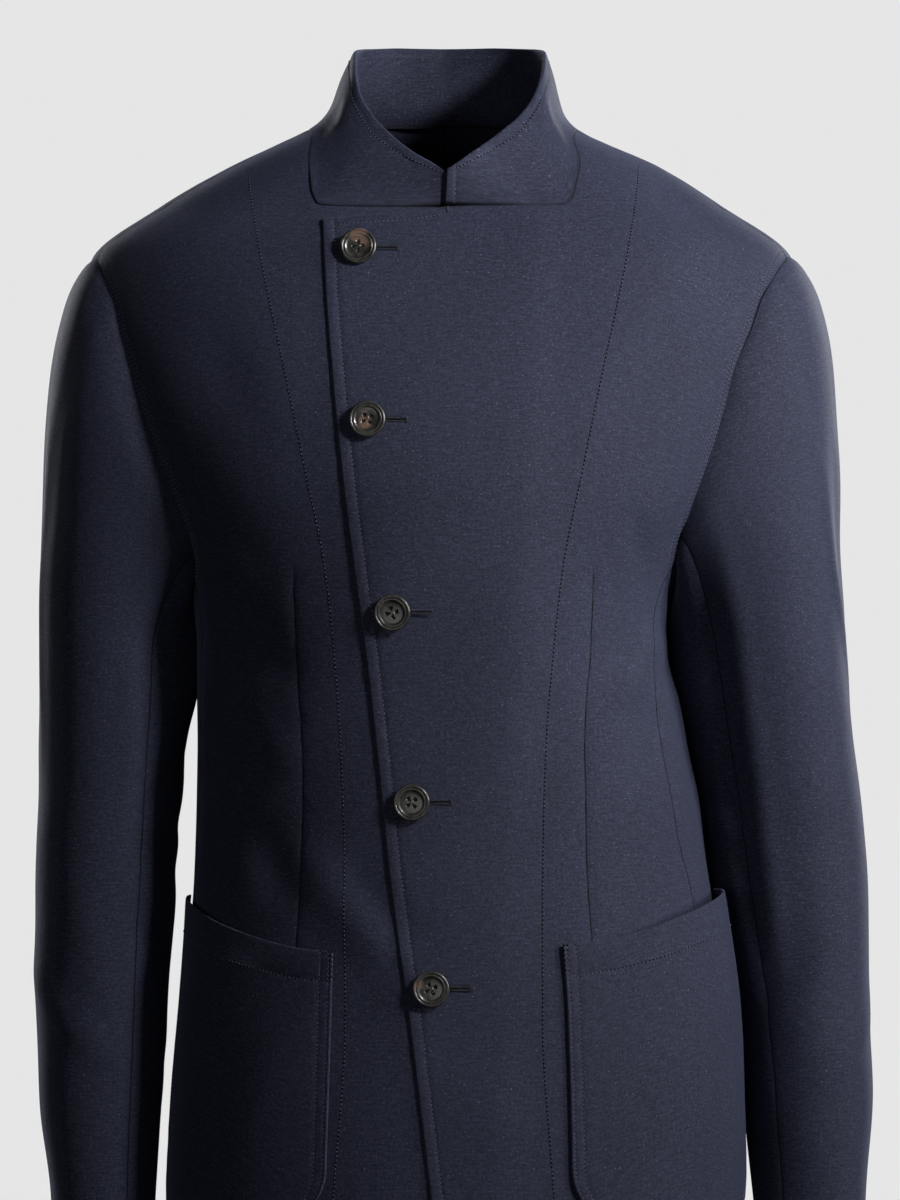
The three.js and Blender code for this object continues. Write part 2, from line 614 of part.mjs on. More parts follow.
  /** Sleeve section at a height: a superellipse round the sleeve's middle, with the elbow creases. */
  section(swing, z) {
    const c = signedPower(Math.cos(radians(swing)), 2 / SLEEVE_SQUARENESS);
    const s = signedPower(Math.sin(radians(swing)), 2 / SLEEVE_SQUARENESS);
    const crease = CREASES.filter(({ side }) => side === this.name).reduce((sum, fold) => {
      const away = ((((swing - fold.swing) % 360) + 540) % 360) - 180;
      const across = z - fold.z - (fold.climb * away) / fold.span;
      return (
        sum + fold.height * Math.exp(-((across / fold.width) ** 2) - (away / fold.span) ** 4)
      );
    }, 0);
    const x = this.sleeveX(z) + (this.sleeveHalf(z) + crease) * c;
    return new THREE.Vector3(this.sign * x, this.sleeveY(z) - (this.sleeveDeep(z) + crease) * s, z);
  }

  /** Sleeve surface: down 0 to 1 is the cap, a Hermite curve from the armhole to the first section, and
   *  down 1 to 2 the arm, from that section to the cuff. */
  sleeve(swing, down) {
    const around = ((((swing - SWINGS.shoulder) % 360) + 360) % 360) + SWINGS.shoulder;
    const first = SLEEVE[0].z;
    if (down >= 1) return this.section(around, mix(first, SLEEVE.at(-1).z, down - 1));
    const swing360 = around % 360;
    const at = (key) => this.cap[key](swing360);
    const leave = new THREE.Vector3(this.sign * at("out"), -at("forward"), -at("down")).normalize();
    const { turn, z } = this.armhole(around);
    const start = onBody(turn, z).point.addScaledVector(leave, ARMHOLE_GAP.cap);
    const end = this.section(around, first);
    const t = Math.max(down, 0);
    const u = 1 - t;
    return start
      .multiplyScalar(u * u * (1 + 2 * t))
      .addScaledVector(end, t * t * (3 - 2 * t))
      .addScaledVector(leave, at("start") * t * u * u)
      .addScaledVector(new THREE.Vector3(0, 0, -1), -at("end") * t * t * u);
  }

  /** One piece of the sleeve between two of its seams. */
  sleevePiece(stations) {
    const clear = SEAM / 2 / this.sleeveHalf(SLEEVE[0].z);
    const list = [...stations];
    list[0] += degrees(clear);
    list[list.length - 1] -= degrees(clear);
    const rows = [
      ...steps(SLEEVE_ROWS.cap).map((t) => t ** SLEEVE_ROWS.capCrowding),
      ...steps(SLEEVE_ROWS.arm).slice(1).map((t) => 1 + t),
    ];
    const surface = (swing, down) => this.sleeve(swing, down);
    const grid = rows.map((down) =>
      list.map((swing) => {
        const inside = Math.max(down, 1.5 * PROBE.down);
        const normal = facing(surface, swing, inside, PROBE.swing, PROBE.down);
        return { point: surface(swing, down), normal: normal.multiplyScalar(-this.sign) };
      }),
    );
    return wall([grid], CLOTH);
  }

  /** Upper and under sleeve. */
  sleeves() {
    const hind = swings(SWINGS.hindarmSeam - 360, SWINGS.shoulder, 9);
    const fore = swings(SWINGS.shoulder, SWINGS.forearmSeam, 9);
    return {
      upper: this.sleevePiece([...hind, ...fore.slice(1)]),
      under: this.sleevePiece([
        ...swings(SWINGS.forearmSeam, SWINGS.frontSeam, 2),
        ...SWING_STATIONS.under.slice(1),
        ...swings(SWINGS.backSeam, SWINGS.hindarmSeam, 4).slice(1),
      ]),
    };
  }

  /** Turn that lies a distance round the ring from the pocket's inner edge. */
  turnAlong(start, distance) {
    const ring = (turn) => torso(turn, POCKET_REST_Z);
    let turn = start;
    for (let left = distance; left > 0; ) {
      const next = turn + this.sign;
      const step = ring(turn).distanceTo(ring(next));
      turn += this.sign * Math.min(1, left / step);
      left -= step;
    }
    return turn;
  }

  /** Patch pocket: a rectangle with rounded lower corners laid on the panels' points and moved out. */
  pocket({ innerX, width, mouthInner, mouthOuter, bottom, bulge }) {
    const start = turnOf(innerX, POCKET_REST_Z);
    const grid = POCKET_ROWS.map((t) =>
      steps(POCKET_COLUMNS).map((s) => {
        const z = mix(mix(mouthInner, mouthOuter, ease(s, 0, 1)), bottom, t);
        const above = Math.min(POCKET_CORNER, z - bottom);
        const inset = POCKET_CORNER - Math.sqrt(POCKET_CORNER ** 2 - (POCKET_CORNER - above) ** 2);
        const turn = this.turnAlong(start, mix(inset, width - inset, s));
        const swell = Math.sin(Math.PI * s ** POCKET_PUFF.skew) ** POCKET_PUFF.across;
        return onBody(turn, z, LAID_ON + CLOTH + bulge * swell * (1 - t ** POCKET_PUFF.down));
      }),
    );
    return wall([grid], CLOTH);
  }
}

/** Lift of the left front over the right front: full over the overlap, gone a little beyond it. */
function overlapLift(x, z) {
  const from = edge.hidden(z) + OVERLAP.clear;
  return OVERLAP.lift * (1 - ease(x, from, from + OVERLAP.fade));
}

/** Collar surface: station -1 to 1 from the wearer's right centre front round the nape to the left, rise 0
 *  at the neck seam to 1 at the top edge, bowed in between. */
function collarSurface(station, rise) {
  const at = Math.abs(station);
  const sign = Math.sign(station) || 1;
  const seam = torso(sign * neckTurn(at), neckZ(at));
  const reach = sign > 0 ? collarTop.left(at) : collarTop.right(at);
  const top = new THREE.Vector3(sign * reach, collarTop.y(at), collarTop.z(at));
  const point = seam.lerp(top, rise);
  const hollow = mix(
    COLLAR_HOLLOW.side,
    COLLAR_HOLLOW.front,
    ease(at, COLLAR_HOLLOW.from, COLLAR_HOLLOW.to),
  );
  const inward = new THREE.Vector3(-point.x, -point.y, 0).normalize();
  const left = Math.max(0, 1 - rise) ** COLLAR_HOLLOW.fade;
  return point.addScaledVector(inward, hollow * Math.sin(Math.PI * rise) * left);
}

/** The collar: one strip whose left end lies over its right end at the centre front. */
function collar() {
  const half = [...new Set([...NECK_BACK, ...NECK_SIDE, ...NECK_FRONT])];
  const stations = [
    COLLAR_END.under,
    -1,
    ...half.slice(1).map((at) => -at).reverse(),
    ...half,
    COLLAR_END.over,
  ];
  const grid = steps(COLLAR_ROWS).map((rise) =>
    stations.map((station) => {
      const normal = facing(collarSurface, station, rise, PROBE.station, PROBE.rise);
      const lap = COLLAR_LAP.lift * ease(station, COLLAR_LAP.from, COLLAR_LAP.to);
      const point = collarSurface(station, mix(SEAM / COLLAR_HEIGHT, 1, rise));
      return { point: point.addScaledVector(normal, lap), normal };
    }),
  );
  return wall([grid], COLLAR_CLOTH);
}

/** A frame on the left front: z out of the cloth, x along the buttonhole. */
function frameOn({ x, z }) {
  const turn = turnOf(x, z);
  const { point, normal } = onBody(turn, z, overlapLift(x, z));
  const along = torso(turn + 0.5, z).sub(torso(turn - 0.5, z)).normalize();
  const up = normal.clone().cross(along).normalize();
  return new THREE.Matrix4().makeBasis(along, up, normal).setPosition(point);
}

/** Rounded slot through the left front for one button's shank. */
function buttonholeCutter(place) {
  const { before, after, width, depth } = BUTTONHOLE;
  const shape = new THREE.Shape();
  shape.absarc(after, 0, width / 2, -Math.PI / 2, Math.PI / 2, false);
  shape.absarc(-before, 0, width / 2, Math.PI / 2, (3 * Math.PI) / 2, false);
  return new THREE.ExtrudeGeometry(shape, { depth, bevelEnabled: false, curveSegments: 4 })
    .translate(0, 0, -depth / 2)
    .applyMatrix4(frameOn(place));
}

/** Four-hole button with a grooved rim, a sunk middle and the thread shank that reaches the right front. */
function button() {
  const shankEnd = SEAM - OVERLAP.lift;
  const profile = [
    new THREE.Vector2(0, shankEnd),
    new THREE.Vector2(BUTTON.shankRadius, shankEnd),
    new THREE.Vector2(BUTTON.shankRadius, BUTTON.stand),
    ...BUTTON_PROFILE.map(
      ({ inset, height }) => new THREE.Vector2(BUTTON.radius - inset, BUTTON.stand + height),
    ),
  ];
  const disc = new THREE.LatheGeometry(profile, BUTTON.segments).rotateX(Math.PI / 2);
  const { count, radius, circle, sides, length, middle } = THREAD_HOLES;
  const holes = steps(count - 1).map((t) => {
    const angle = (t * (count - 1) * 2 * Math.PI) / count;
    return new THREE.CylinderGeometry(radius, radius, length, sides)
      .rotateX(Math.PI / 2)
      .translate(circle * Math.cos(angle), circle * Math.sin(angle), middle);
  });
  return cut(disc, holes);
}

/** Both fronts: the right one runs plainly to its hidden edge, the left one lies over it. */
function fronts(halves) {
  const rightOuter = halves.right.frontOuter();
  const right = wall(
    [
      halves.right.cloth(rightOuter.grid),
      halves.right.cloth(halves.right.frontInner(rightOuter.shared, edge.hidden, hiddenTop)),
    ],
    CLOTH,
  );
  const leftOuter = halves.left.frontOuter();
  const left = wall(
    [
      halves.left.cloth(leftOuter.grid, overlapLift),
      halves.left.cloth(
        halves.left.frontInner(leftOuter.shared, edge.leading, overlapTop),
        overlapLift,
      ),
    ],
    CLOTH,
  );
  return { left: cut(left, BUTTON_PLACES.map(buttonholeCutter)), right };
}

/** Height of the right front's hidden top edge, a plain slope under the left front. */
function hiddenTop(x) {
  return neckZ(1) - HIDDEN_TOP.drop - HIDDEN_TOP.slope * Math.max(0, x);
}

const materials = {
  cloth: new THREE.MeshStandardMaterial({ color: COLOURS.cloth, roughness: 0.92, metalness: 0 }),
  button: new THREE.MeshStandardMaterial({ color: COLOURS.button, roughness: 0.42, metalness: 0 }),
};

/** A named mesh. */
function piece(name, geometry, material) {
  const mesh = new THREE.Mesh(geometry, material);
  mesh.name = name;
  return mesh;
}

/** The whole jacket as one group. */
function jacket() {
  const group = new THREE.Group();
  const halves = { left: new Half("left", 1), right: new Half("right", -1) };
  const front = fronts(halves);
  for (const [name, half] of Object.entries(halves)) {
    const { upper, under } = half.sleeves();
    group.add(
      piece(`front_${name}`, front[name], materials.cloth),
      piece(`side_${name}`, half.sidePanel(), materials.cloth),
      piece(`back_${name}`, half.backPanel(), materials.cloth),
      piece(`upper_sleeve_${name}`, upper, materials.cloth),
      piece(`under_sleeve_${name}`, under, materials.cloth),
      piece(`pocket_${name}`, half.pocket(POCKETS[name]), materials.cloth),
    );
  }
  group.add(piece("collar", collar(), materials.cloth));
  BUTTON_PLACES.forEach((place, k) => {
    const mesh = piece(`button_${k + 1}`, button(), materials.button);
    mesh.applyMatrix4(frameOn(place));
    group.add(mesh);
  });
  return group;
}

export default jacket();
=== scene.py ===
import logging
import math
from dataclasses import dataclass, field, replace
from enum import Enum
from typing import Callable, Iterable, Optional, Sequence, Union

import bpy
import numpy as np
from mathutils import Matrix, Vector


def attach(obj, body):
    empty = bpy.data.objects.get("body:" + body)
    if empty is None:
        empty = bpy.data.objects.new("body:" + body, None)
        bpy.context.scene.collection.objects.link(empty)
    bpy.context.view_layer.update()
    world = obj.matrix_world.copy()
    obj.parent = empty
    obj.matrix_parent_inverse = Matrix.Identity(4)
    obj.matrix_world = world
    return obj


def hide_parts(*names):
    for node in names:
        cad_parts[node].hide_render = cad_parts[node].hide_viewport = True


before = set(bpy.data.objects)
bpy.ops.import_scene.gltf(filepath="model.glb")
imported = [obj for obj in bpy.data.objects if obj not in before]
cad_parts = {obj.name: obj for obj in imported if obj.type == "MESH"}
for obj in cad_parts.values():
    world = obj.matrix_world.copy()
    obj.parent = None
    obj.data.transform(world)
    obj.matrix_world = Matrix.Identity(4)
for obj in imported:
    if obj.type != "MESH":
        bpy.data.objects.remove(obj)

log = logging.getLogger("jacket")
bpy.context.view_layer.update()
MM = 0.001
BODY_NAME = "root"
Array = np.ndarray
Number = Union[float, Array]
Curve = Callable[[Number], Array]
Line = tuple[Array, Array]
Shape = tuple[Array, Array, Array]
Piece = bpy.types.Object
Material = bpy.types.Material
Colour = tuple[float, float, float, float]


class Side(Enum):
    """The wearer's side that a piece is on; its value is the sign of X there."""

    LEFT = 1
    RIGHT = -1

    @property

    def word(self) -> str:
        """The side's name as it stands in the names of the nodes."""
        return self.name.lower()


class Table:
    """Named columns of numbers, a row for each station, whose first column is the key."""

    def __init__(self, names: str, rows: Sequence[Sequence[float]]) -> None:
        """Sorts the rows by their key.

        Args:
            names: the columns' names, parted by spaces.
            rows: one row of numbers for each station.
        """
        self.names = names.split()
        self.rows = np.array(sorted(rows), float)

    def curve(self, name: str) -> Curve:
        """One column as a function of the key.

        Between two rows it is a cubic whose slope at a row is the harmonic mean of the slopes on both
        sides, or nought where they differ in sign, so it never overshoots. Past the ends it stays level.

        Args:
            name: the column.

        Returns:
            The function, which takes and gives whole arrays.
        """
        key, value = self.rows[:, 0], self.rows[:, self.names.index(name)]
        rise = np.diff(value) / np.diff(key)
        before, after = rise[:-1], rise[1:]
        alike = before * after > 0
        inner = np.where(alike, 2 * before * after / np.where(alike, before + after, 1), 0)
        slope = np.concatenate([rise[:1], inner, rise[-1:]])

        def at(place: Number) -> Array:
            """The column's value at a key.

            Args:
                place: keys.

            Returns:
                The column's values there.
            """
            x = np.clip(place, key[0], key[-1])
            i = np.clip(np.searchsorted(key, x, side="right") - 1, 0, len(key) - 2)
            span = key[i + 1] - key[i]
            return hermite(value[i], value[i + 1], span * slope[i], span * slope[i + 1], (x - key[i]) / span)

        return at

    def curves(self, names: Iterable[str]) -> list[Curve]:
        """Several columns as functions of the key."""
        return [self.curve(name) for name in names]


def mix(a: Number, b: Number, t: Number) -> Array:
    """The value that lies the share t of the way from a to b."""
    return a + (b - a) * t


def ease(value: Number, low: Number, high: Number) -> Array:
    """Smooth step: 0 up to low, 1 from high on, and 3t² - 2t³ between."""
    t = np.clip((value - low) / (high - low), 0, 1)
    return t * t * (3 - 2 * t)


def hermite(start: Number, end: Number, leave: Number, arrive: Number, t: Number) -> Array:
    """A cubic over t from 0 to 1, from start to end, whose slopes there are leave and arrive."""
    u = 1 - t
    return start * u * u * (1 + 2 * t) + end * t * t * (3 - 2 * t) + leave * t * u * u - arrive * t * t * u


def bell(distance: Number, width: Number, power: int = 2) -> Array:
    """1 at nought, falling off on both sides: e to minus a power of the distance over the width."""
    return np.exp(-((distance / width) ** power))


def signed_power(value: Number, power: float) -> Array:
    """A number's size raised to a power, with its sign kept."""
    return np.sign(value) * np.abs(value) ** power


def squared(turn: Number, squareness: float) -> tuple[Array, Array]:
    """Sine and cosine of a turn on a superellipse: their sizes to the power of 2 over its squareness."""
    angle, power = np.radians(turn), 2 / squareness
    return signed_power(np.sin(angle), power), signed_power(np.cos(angle), power)


def places(*coordinates: Number) -> Array:
    """Coordinates of matching shapes as places, with the coordinates on the last axis."""
    return np.stack(np.broadcast_arrays(*(np.asarray(one, float) for one in coordinates)), axis=-1)


def paced(count: int, paces: Sequence[float], stops: Sequence[float]) -> Array:
    """Values at even steps of a pace from nought, which reach each stop at its own pace."""
    return np.interp(np.linspace(0, paces[-1], count), paces, stops)


def unit(vectors: Array) -> Array:
    """Vectors divided by their lengths."""
    return vectors / np.maximum(np.linalg.norm(vectors, axis=-1, keepdims=True), 1e-9)


def lengths(points: Array) -> Array:
    """Distances along lines of points, from nought at each line's first point; lines run on axis -2."""
    steps = np.linalg.norm(np.diff(points, axis=-2), axis=-1)
    return np.concatenate([np.zeros_like(steps[..., :1]), np.cumsum(steps, axis=-1)], axis=-1)


def sampled(at: Array, key: Array, values: Array) -> Array:
    """Rows of values, known at rising keys, read off by straight lines between them."""
    return np.stack([np.interp(at, key, column) for column in values.T], axis=-1)


def circle(count: int) -> Array:
    """Even angles round a full turn, in radians, without its end."""
    return np.linspace(0, 2 * np.pi, count, endpoint=False)


# Body rings: half-widths to the wearer's right and left, depths to the front and the back
BODY = Table("z right left front back", [
    (16, 70, 70, 58, 61), (8, 82, 82, 60, 67), (0, 98, 95, 62, 72), (-20, 140, 140, 69, 86),
    (-45, 183, 179.5, 80, 100), (-79, 228, 225, 98, 112), (-100, 234, 231, 106, 116),
    (-120, 233, 231, 113, 120), (-160, 224, 222, 125, 125), (-200, 209, 206.5, 134, 127),
    (-240, 190, 184, 138, 125), (-275, 172.5, 159, 138, 120), (-300, 164.5, 148, 137, 115),
    (-330, 160.5, 144.5, 134, 110), (-365, 160, 153, 131, 106), (-400, 159.5, 159, 129, 103),
    (-430, 160, 165, 128, 103), (-462, 161.5, 169, 127, 105), (-495, 163.5, 174.5, 127, 109),
    (-560, 168.5, 185.5, 128, 119), (-625, 173.5, 191, 130, 126), (-690, 178.5, 194.5, 131, 130),
    (-750, 184, 197, 131, 131),
])
# Neck seam from the nape (at 0) round the side to the centre front (at 1)
NECK_SEAM = Table("at turn z", [
    (0, 180, 15), (0.14, 154.5, 14), (0.27, 133, 11), (0.38, 111, 8), (0.48, 92, 5.6), (0.56, 78, 4.4),
    (0.61, 56, -1.5), (0.66, 41.6, -12), (0.72, 30, -30), (0.775, 24.4, -44), (0.8, 22, -49),
    (0.86, 15.5, -50.3), (0.93, 7, -50.6), (1, 0, -49.5), (1.06, -3, -49.5),
])
# Top edge of the collar over the same stations
COLLAR_TOP = Table("at right left y z", [
    (0, 0, 0, 57, 64), (0.14, 27, 28, 52, 64), (0.27, 45, 49, 40, 62.5), (0.38, 56, 62, 21, 60),
    (0.48, 58, 65.6, -2, 56), (0.56, 57.6, 65, -24, 45), (0.66, 55, 60, -45, 28),
    (0.74, 46.5, 50, -56, 11.5), (0.82, 35, 35.5, -65, -2), (0.9, 20.5, 20, -73, -14.5),
    (0.97, 5, 7, -78.5, -24), (1, 0, 1.6, -79.5, -27.5), (1.06, -12, -12, -79.5, -32),
])
# Armhole seam: swing 0 is the shoulder point, 90 the front, 180 the underarm and 270 the back
ARMHOLE = Table("swing right_turn right_z left_turn left_z", [
    (8, 78, -79.6, 78, -79.6), (20, 69, -91, 67, -91), (33, 62.4, -115, 59, -112),
    (58, 60, -166, 53.2, -163), (84, 59.8, -214, 54.2, -210), (109, 62, -257, 58.5, -247),
    (122, 65, -272, 61, -261), (140, 70.5, -286, 67, -275), (160, 80, -292, 78, -285),
    (180, 91, -293, 91, -288), (200, 103, -290, 103, -286), (215, 111, -284, 111, -280),
    (239, 120, -254, 120, -252), (262, 122.5, -212, 122.5, -211), (286, 121, -166, 121, -166),
    (309, 116, -121, 116, -121), (333, 104, -90, 104, -90), (351, 92, -81.5, 92, -81.5),
    (368, 78, -79.6, 78, -79.6),
])
FRONT_SEAM = Table("z right left", [
    (-275, 70.5, 67), (-330, 75, 63.4), (-390, 77, 60), (-443, 78, 60.7), (-490, 79, 64.5), (-750, 79, 66),
])
BACK_SEAM = Table("z right left", [
    (-280, 111, 111), (-340, 113, 114), (-430, 115, 117), (-560, 115, 116), (-750, 113, 113),
])
# Leading edge of the left front, the hidden edge of the right front, the dart and the facing's stitching
FRONT_LINES = Table("z leading hidden dart facing", [
    (-18, -77, 53, 84, 126), (-49, -76.8, 52, 84, 121.6), (-88, -75.2, 49, 87, 114.6),
    (-153, -70.2, 46, 91, 100.4), (-215, -64, 43, 93.5, 87.6), (-277, -56.2, 41, 94, 74.8),
    (-334, -48.4, 38, 92.5, 68.2), (-400, -41, 35, 88.5, 63.8), (-469, -34.1, 32, 90, 61.9),
    (-562, -21.6, 28, 96, 61.6), (-674, -7.9, 24, 98, 68.9), (-750, 1, 21, 98, 73),
])
OVERLAP_TOP = Table("x z", [
    (-77, -59.5), (-49.6, -57.2), (-23.7, -55.5), (-3, -52.6), (4, -50.4), (30, -50.9), (62, -50.6),
])
# Sleeve cap: where the cloth heads as it leaves the armhole, and its pull into the arm
CAP = Table("swing out forward down start end", [
    (0, 0.8, 0, 0.66, 104, 300), (45, 0.9, 0.2, 0.38, 92, 240), (90, 0.95, 0.16, 0.24, 62, 110),
    (135, 0.78, 0.5, 0.26, 26, 50), (180, 1, 0, 0.06, 20, 40), (225, 0.75, -0.6, 0.26, 28, 52),
    (270, 0.94, -0.26, 0.24, 68, 125), (315, 0.86, -0.3, 0.42, 98, 245), (360, 0.8, 0, 0.66, 104, 300),
])
SLEEVE = Table("z right_x right_half left_x left_half right_y left_y deep", [
    (-330, 213, 49, 204, 55.8, 0, 8, 63), (-365, 213.8, 47.3, 209, 54.4, 1, 14, 61),
    (-400, 215.6, 45.9, 213.8, 53.2, 2, 20, 59), (-430, 216.8, 44.8, 218.2, 52.6, 3, 24, 57.5),
    (-462, 218.3, 44.1, 221.6, 51.8, 3, 26, 56), (-495, 220, 43.4, 225.8, 49.8, 3, 26, 54),
    (-560, 222.1, 41.2, 232.6, 43.6, 0, 25, 51.5), (-625, 222.2, 37.4, 237.4, 40.4, -5, 22, 48),
    (-682, 220.6, 31.9, 238.4, 35.2, -11, 17, 44), (-715, 219.8, 30.5, 238.6, 33, -15, 13, 42.5),
])
HEM_Z, CAP_END_Z, CUFF_Z = -750.0, -330.0, -715.0
CLOTH, COLLAR_CLOTH, LAID_ON = 1.8, 2.6, 0.85
# Sewn pieces reach a little into each other, so that no light shows through a seam
SEAM, ARMHOLE_LAP, COLLAR_LAP = -0.16, 0.5, 1.8
SHOULDER_TURN, SHOULDER_TOP, SHOULDER_LOW = 78.0, 4.4, -79.6
FOREARM, FRONT_SWING, BACK_SWING, HINDARM, SHOULDER_SWING = 122.0, 140.0, 215.0, 262.0, 8.0
ARMHOLE_END_Z, DART_TOP, NECK_CORNER_Z = -272.0, -276.0, -44.5


@dataclass(frozen=True)
class Fold:
    """A soft ridge (height over 0) or trough (under 0) along a line between two places on a face."""

    x1: float
    z1: float
    x2: float
    z2: float
    width: float
    height: float

    def lift(self, x: Array, z: Array) -> Array:
        """The fold's height at places of its face: a bell across its line that fades towards both ends.

        Args:
            x: distances or angles on the face.
            z: heights on the face.

        Returns:
            The heights.
        """
        dx, dz = self.x2 - self.x1, self.z2 - self.z1
        length = math.hypot(dx, dz)
        along = ((x - self.x1) * dx + (z - self.z1) * dz) / length**2
        across = ((x - self.x1) * dz - (z - self.z1) * dx) / length
        return self.height * bell(across, self.width) * bell(along - 0.5, 0.5, 4)


def piled(folds: Iterable[Fold], x: Array, z: Array) -> Array:
    """The heights of several folds added up."""
    return sum((fold.lift(x, z) for fold in folds), np.zeros(np.broadcast(x, z).shape))


# The largest folds of the front and the back, then the finer ones, at x from the centre and height z
FRONT_FOLDS = [
    Fold(136, -322, 112, -362, 13, 4), Fold(124, -330, 84, -372, 12, -2.4),
    Fold(-86, -462, -34, -528, 15, 2.8), Fold(-120, -440, -98, -488, 13, -2.2),
    Fold(-140, -305, -96, -352, 15, -2.6),
    Fold(133, -314, 106, -372, 5, 1.5), Fold(139, -352, 118, -424, 9, -1.1),
    Fold(104, -402, 48, -470, 16, 1.2), Fold(38, -352, 96, -396, 14, -0.9),
    Fold(-132, -360, -96, -404, 12, 1.3), Fold(-58, -470, -8, -520, 12, -1.1),
    Fold(150, -120, 108, -196, 16, -1.3), Fold(-152, -126, -112, -204, 16, -1.2),
    Fold(-30, -588, 58, -640, 24, 1.2), Fold(52, -560, -24, -610, 20, -0.9),
    Fold(-142, -262, -118, -296, 8, 1.3), Fold(118, -246, 132, -290, 9, -1.2),
]
BACK_FOLDS = [
    Fold(-132, -300, -104, -372, 15, 3), Fold(134, -296, 100, -378, 15, 3),
    Fold(-118, -424, -46, -446, 14, -2.6), Fold(122, -416, 40, -452, 15, -3),
    Fold(110, -452, 54, -482, 15, 2.4),
    Fold(-96, -388, -30, -402, 9, 1.2), Fold(-128, -452, -66, -478, 11, 1.5),
    Fold(104, -386, 36, -404, 10, -1.2), Fold(-150, -180, -112, -262, 17, -1.8),
    Fold(152, -176, 116, -264, 17, -2), Fold(-60, -92, -124, -116, 15, -1.1),
    Fold(54, -90, 130, -118, 15, -1.1), Fold(-36, -520, -58, -640, 22, 1.1),
    Fold(44, -540, 70, -660, 22, 1.2), Fold(4, -560, -6, -690, 18, -1),
]
# Slow unevenness of the cloth: wave lengths round and down in mm, start in turns, height in mm
WAVES = Table("phase round down height", [
    (0.1, 168, 260, 0.42), (0.35, -118, 205, 0.34), (0.62, 74, -310, 0.24), (0.83, -61, 96, 0.14),
])
MM_PER_TURN = 2.75


class Form:
    """A surface of two coordinates that cloth lies on: subclasses give its plain shape and its relief."""

    probe = (0.4, 1.0)

    def base(self, a: Array, b: Array) -> Array:
        """Points of the plain surface."""
        raise NotImplementedError

    def relief(self, a: Array, b: Array) -> Array:
        """Heights of the folds over the plain surface."""
        return np.zeros(np.broadcast(a, b).shape)

    def normal(self, a: Array, b: Array) -> Array:
        """Outward directions: the cross product of small steps along both coordinates.

        Args:
            a: first coordinate.
            b: second coordinate.

        Returns:
            Unit vectors.
        """
        da, db = self.probe
        along_a = self.base(a + da, b) - self.base(a - da, b)
        along_b = self.base(a, b + db) - self.base(a, b - db)
        return unit(np.cross(along_a, along_b))

    def cloth(self, a: Array, b: Array, out: Number = 0.0) -> tuple[Array, Array]:
        """Points of the cloth and their outward directions.

        Args:
            a: first coordinate.
            b: second coordinate.
            out: distance over the surface with its folds.

        Returns:
            The points, moved along the plain surface's normals, and those normals.
        """
        normal = self.normal(a, b)
        height = self.relief(a, b) + out
        return self.base(a, b) + normal * height[..., None], normal


@dataclass
class BodyForm(Form):
    """The body of the jacket: a superellipse ring at each height, with the folds of front and back."""

    squareness: float = 2.25
    overlap_lift: float = 1.8
    overlap_clear: float = 3.0
    overlap_fade: float = 30.0

    def __post_init__(self) -> None:
        """Reads the table's columns."""
        self.right, self.left, self.front, self.back = BODY.curves(BODY.names[1:])
        self.hidden_edge = FRONT_LINES.curve("hidden")

    def base(self, a: Array, b: Array) -> Array:
        """Ring points: x is a half-width times the turn's sine and y a depth times its cosine, both
        squared up.

        Args:
            a: turns round the body.
            b: heights.

        Returns:
            The points.
        """
        s, c = squared(a, self.squareness)
        wide = np.where(s < 0, self.right(b), self.left(b))
        deep = np.where(c > 0, self.front(b), self.back(b))
        return places(wide * s, -deep * c, b)

    def relief(self, a: Array, b: Array) -> Array:
        """The face's folds, and slow waves that run aslant round the body.

        Args:
            a: turns round the body.
            b: heights.

        Returns:
            Heights over the ring.
        """
        x = self.base(a, b)[..., 0]
        front = np.cos(np.radians(a)) > 0
        folds = np.where(front, piled(FRONT_FOLDS, x, b), piled(BACK_FOLDS, x, b))
        for phase, around, down, height in WAVES.rows:
            folds = folds + height * np.sin(2 * np.pi * (phase + a * MM_PER_TURN / around + b / down))
        return folds

    def turn_of(self, x: Array, z: Array) -> Array:
        """Turn of the front's point at a distance x from the centre, the ring's formula turned round."""
        wide = np.where(np.asarray(x) < 0, self.right(z), self.left(z))
        return np.degrees(np.arcsin(np.clip(signed_power(x / wide, self.squareness / 2), -1, 1)))

    def shifted(self, turn: Array, z: Array, distance: Number) -> Array:
        """Turn moved round the ring by a distance."""
        step = self.base(turn + 0.5, z) - self.base(turn - 0.5, z)
        return turn + distance / np.linalg.norm(step, axis=-1)

    def over(self, a: Array, b: Array, *_: Number) -> Array:
        """Lift of the left front over the right: full over the overlap, gone a little beyond it.

        Args:
            a: turns round the body.
            b: heights.

        Returns:
            The lift.
        """
        x = self.base(a, b)[..., 0]
        start = self.hidden_edge(b) + self.overlap_clear
        return self.overlap_lift * (1 - ease(x, start, start + self.overlap_fade))


FORM = BodyForm()


@dataclass(frozen=True)
class Border:
    """One border of a panel: its places, as turn and height, against a share from 0 to 1."""

    share: Array
    places: Array

    def __call__(self, t: Array) -> Array:
        """Places at shares of the border."""
        return sampled(t, self.share, self.places)

    @staticmethod
    def even(run: Array) -> "Border":
        """A border whose places stand at even shares."""
        return Border(np.linspace(0, 1, len(run)), run)

    @staticmethod
    def through(*parts: tuple[float, Array]) -> "Border":
        """Joins runs of places, each with the weight of its share of the whole.

        Args:
            parts: pairs of a weight and a run of places.

        Returns:
            The whole border.
        """
        share, done = [], 0.0
        total = sum(weight for weight, _ in parts)
        for weight, run in parts:
            share.append(done + np.linspace(0, weight, len(run)) / total)
            done += weight / total
        return Border(np.concatenate(share), np.concatenate([run for _, run in parts]))


Zone = Callable[[Array, Array], Array]
Lift = Callable[[Array, Array, Array, Array], Number]


def everywhere(a: Array, b: Array) -> Array:
    """The share 1 for every place."""
    return np.ones(np.broadcast(a, b).shape)


def level(a: Array, b: Array, s: Array, t: Array) -> float:
    """No lift at any place."""
    return 0.0


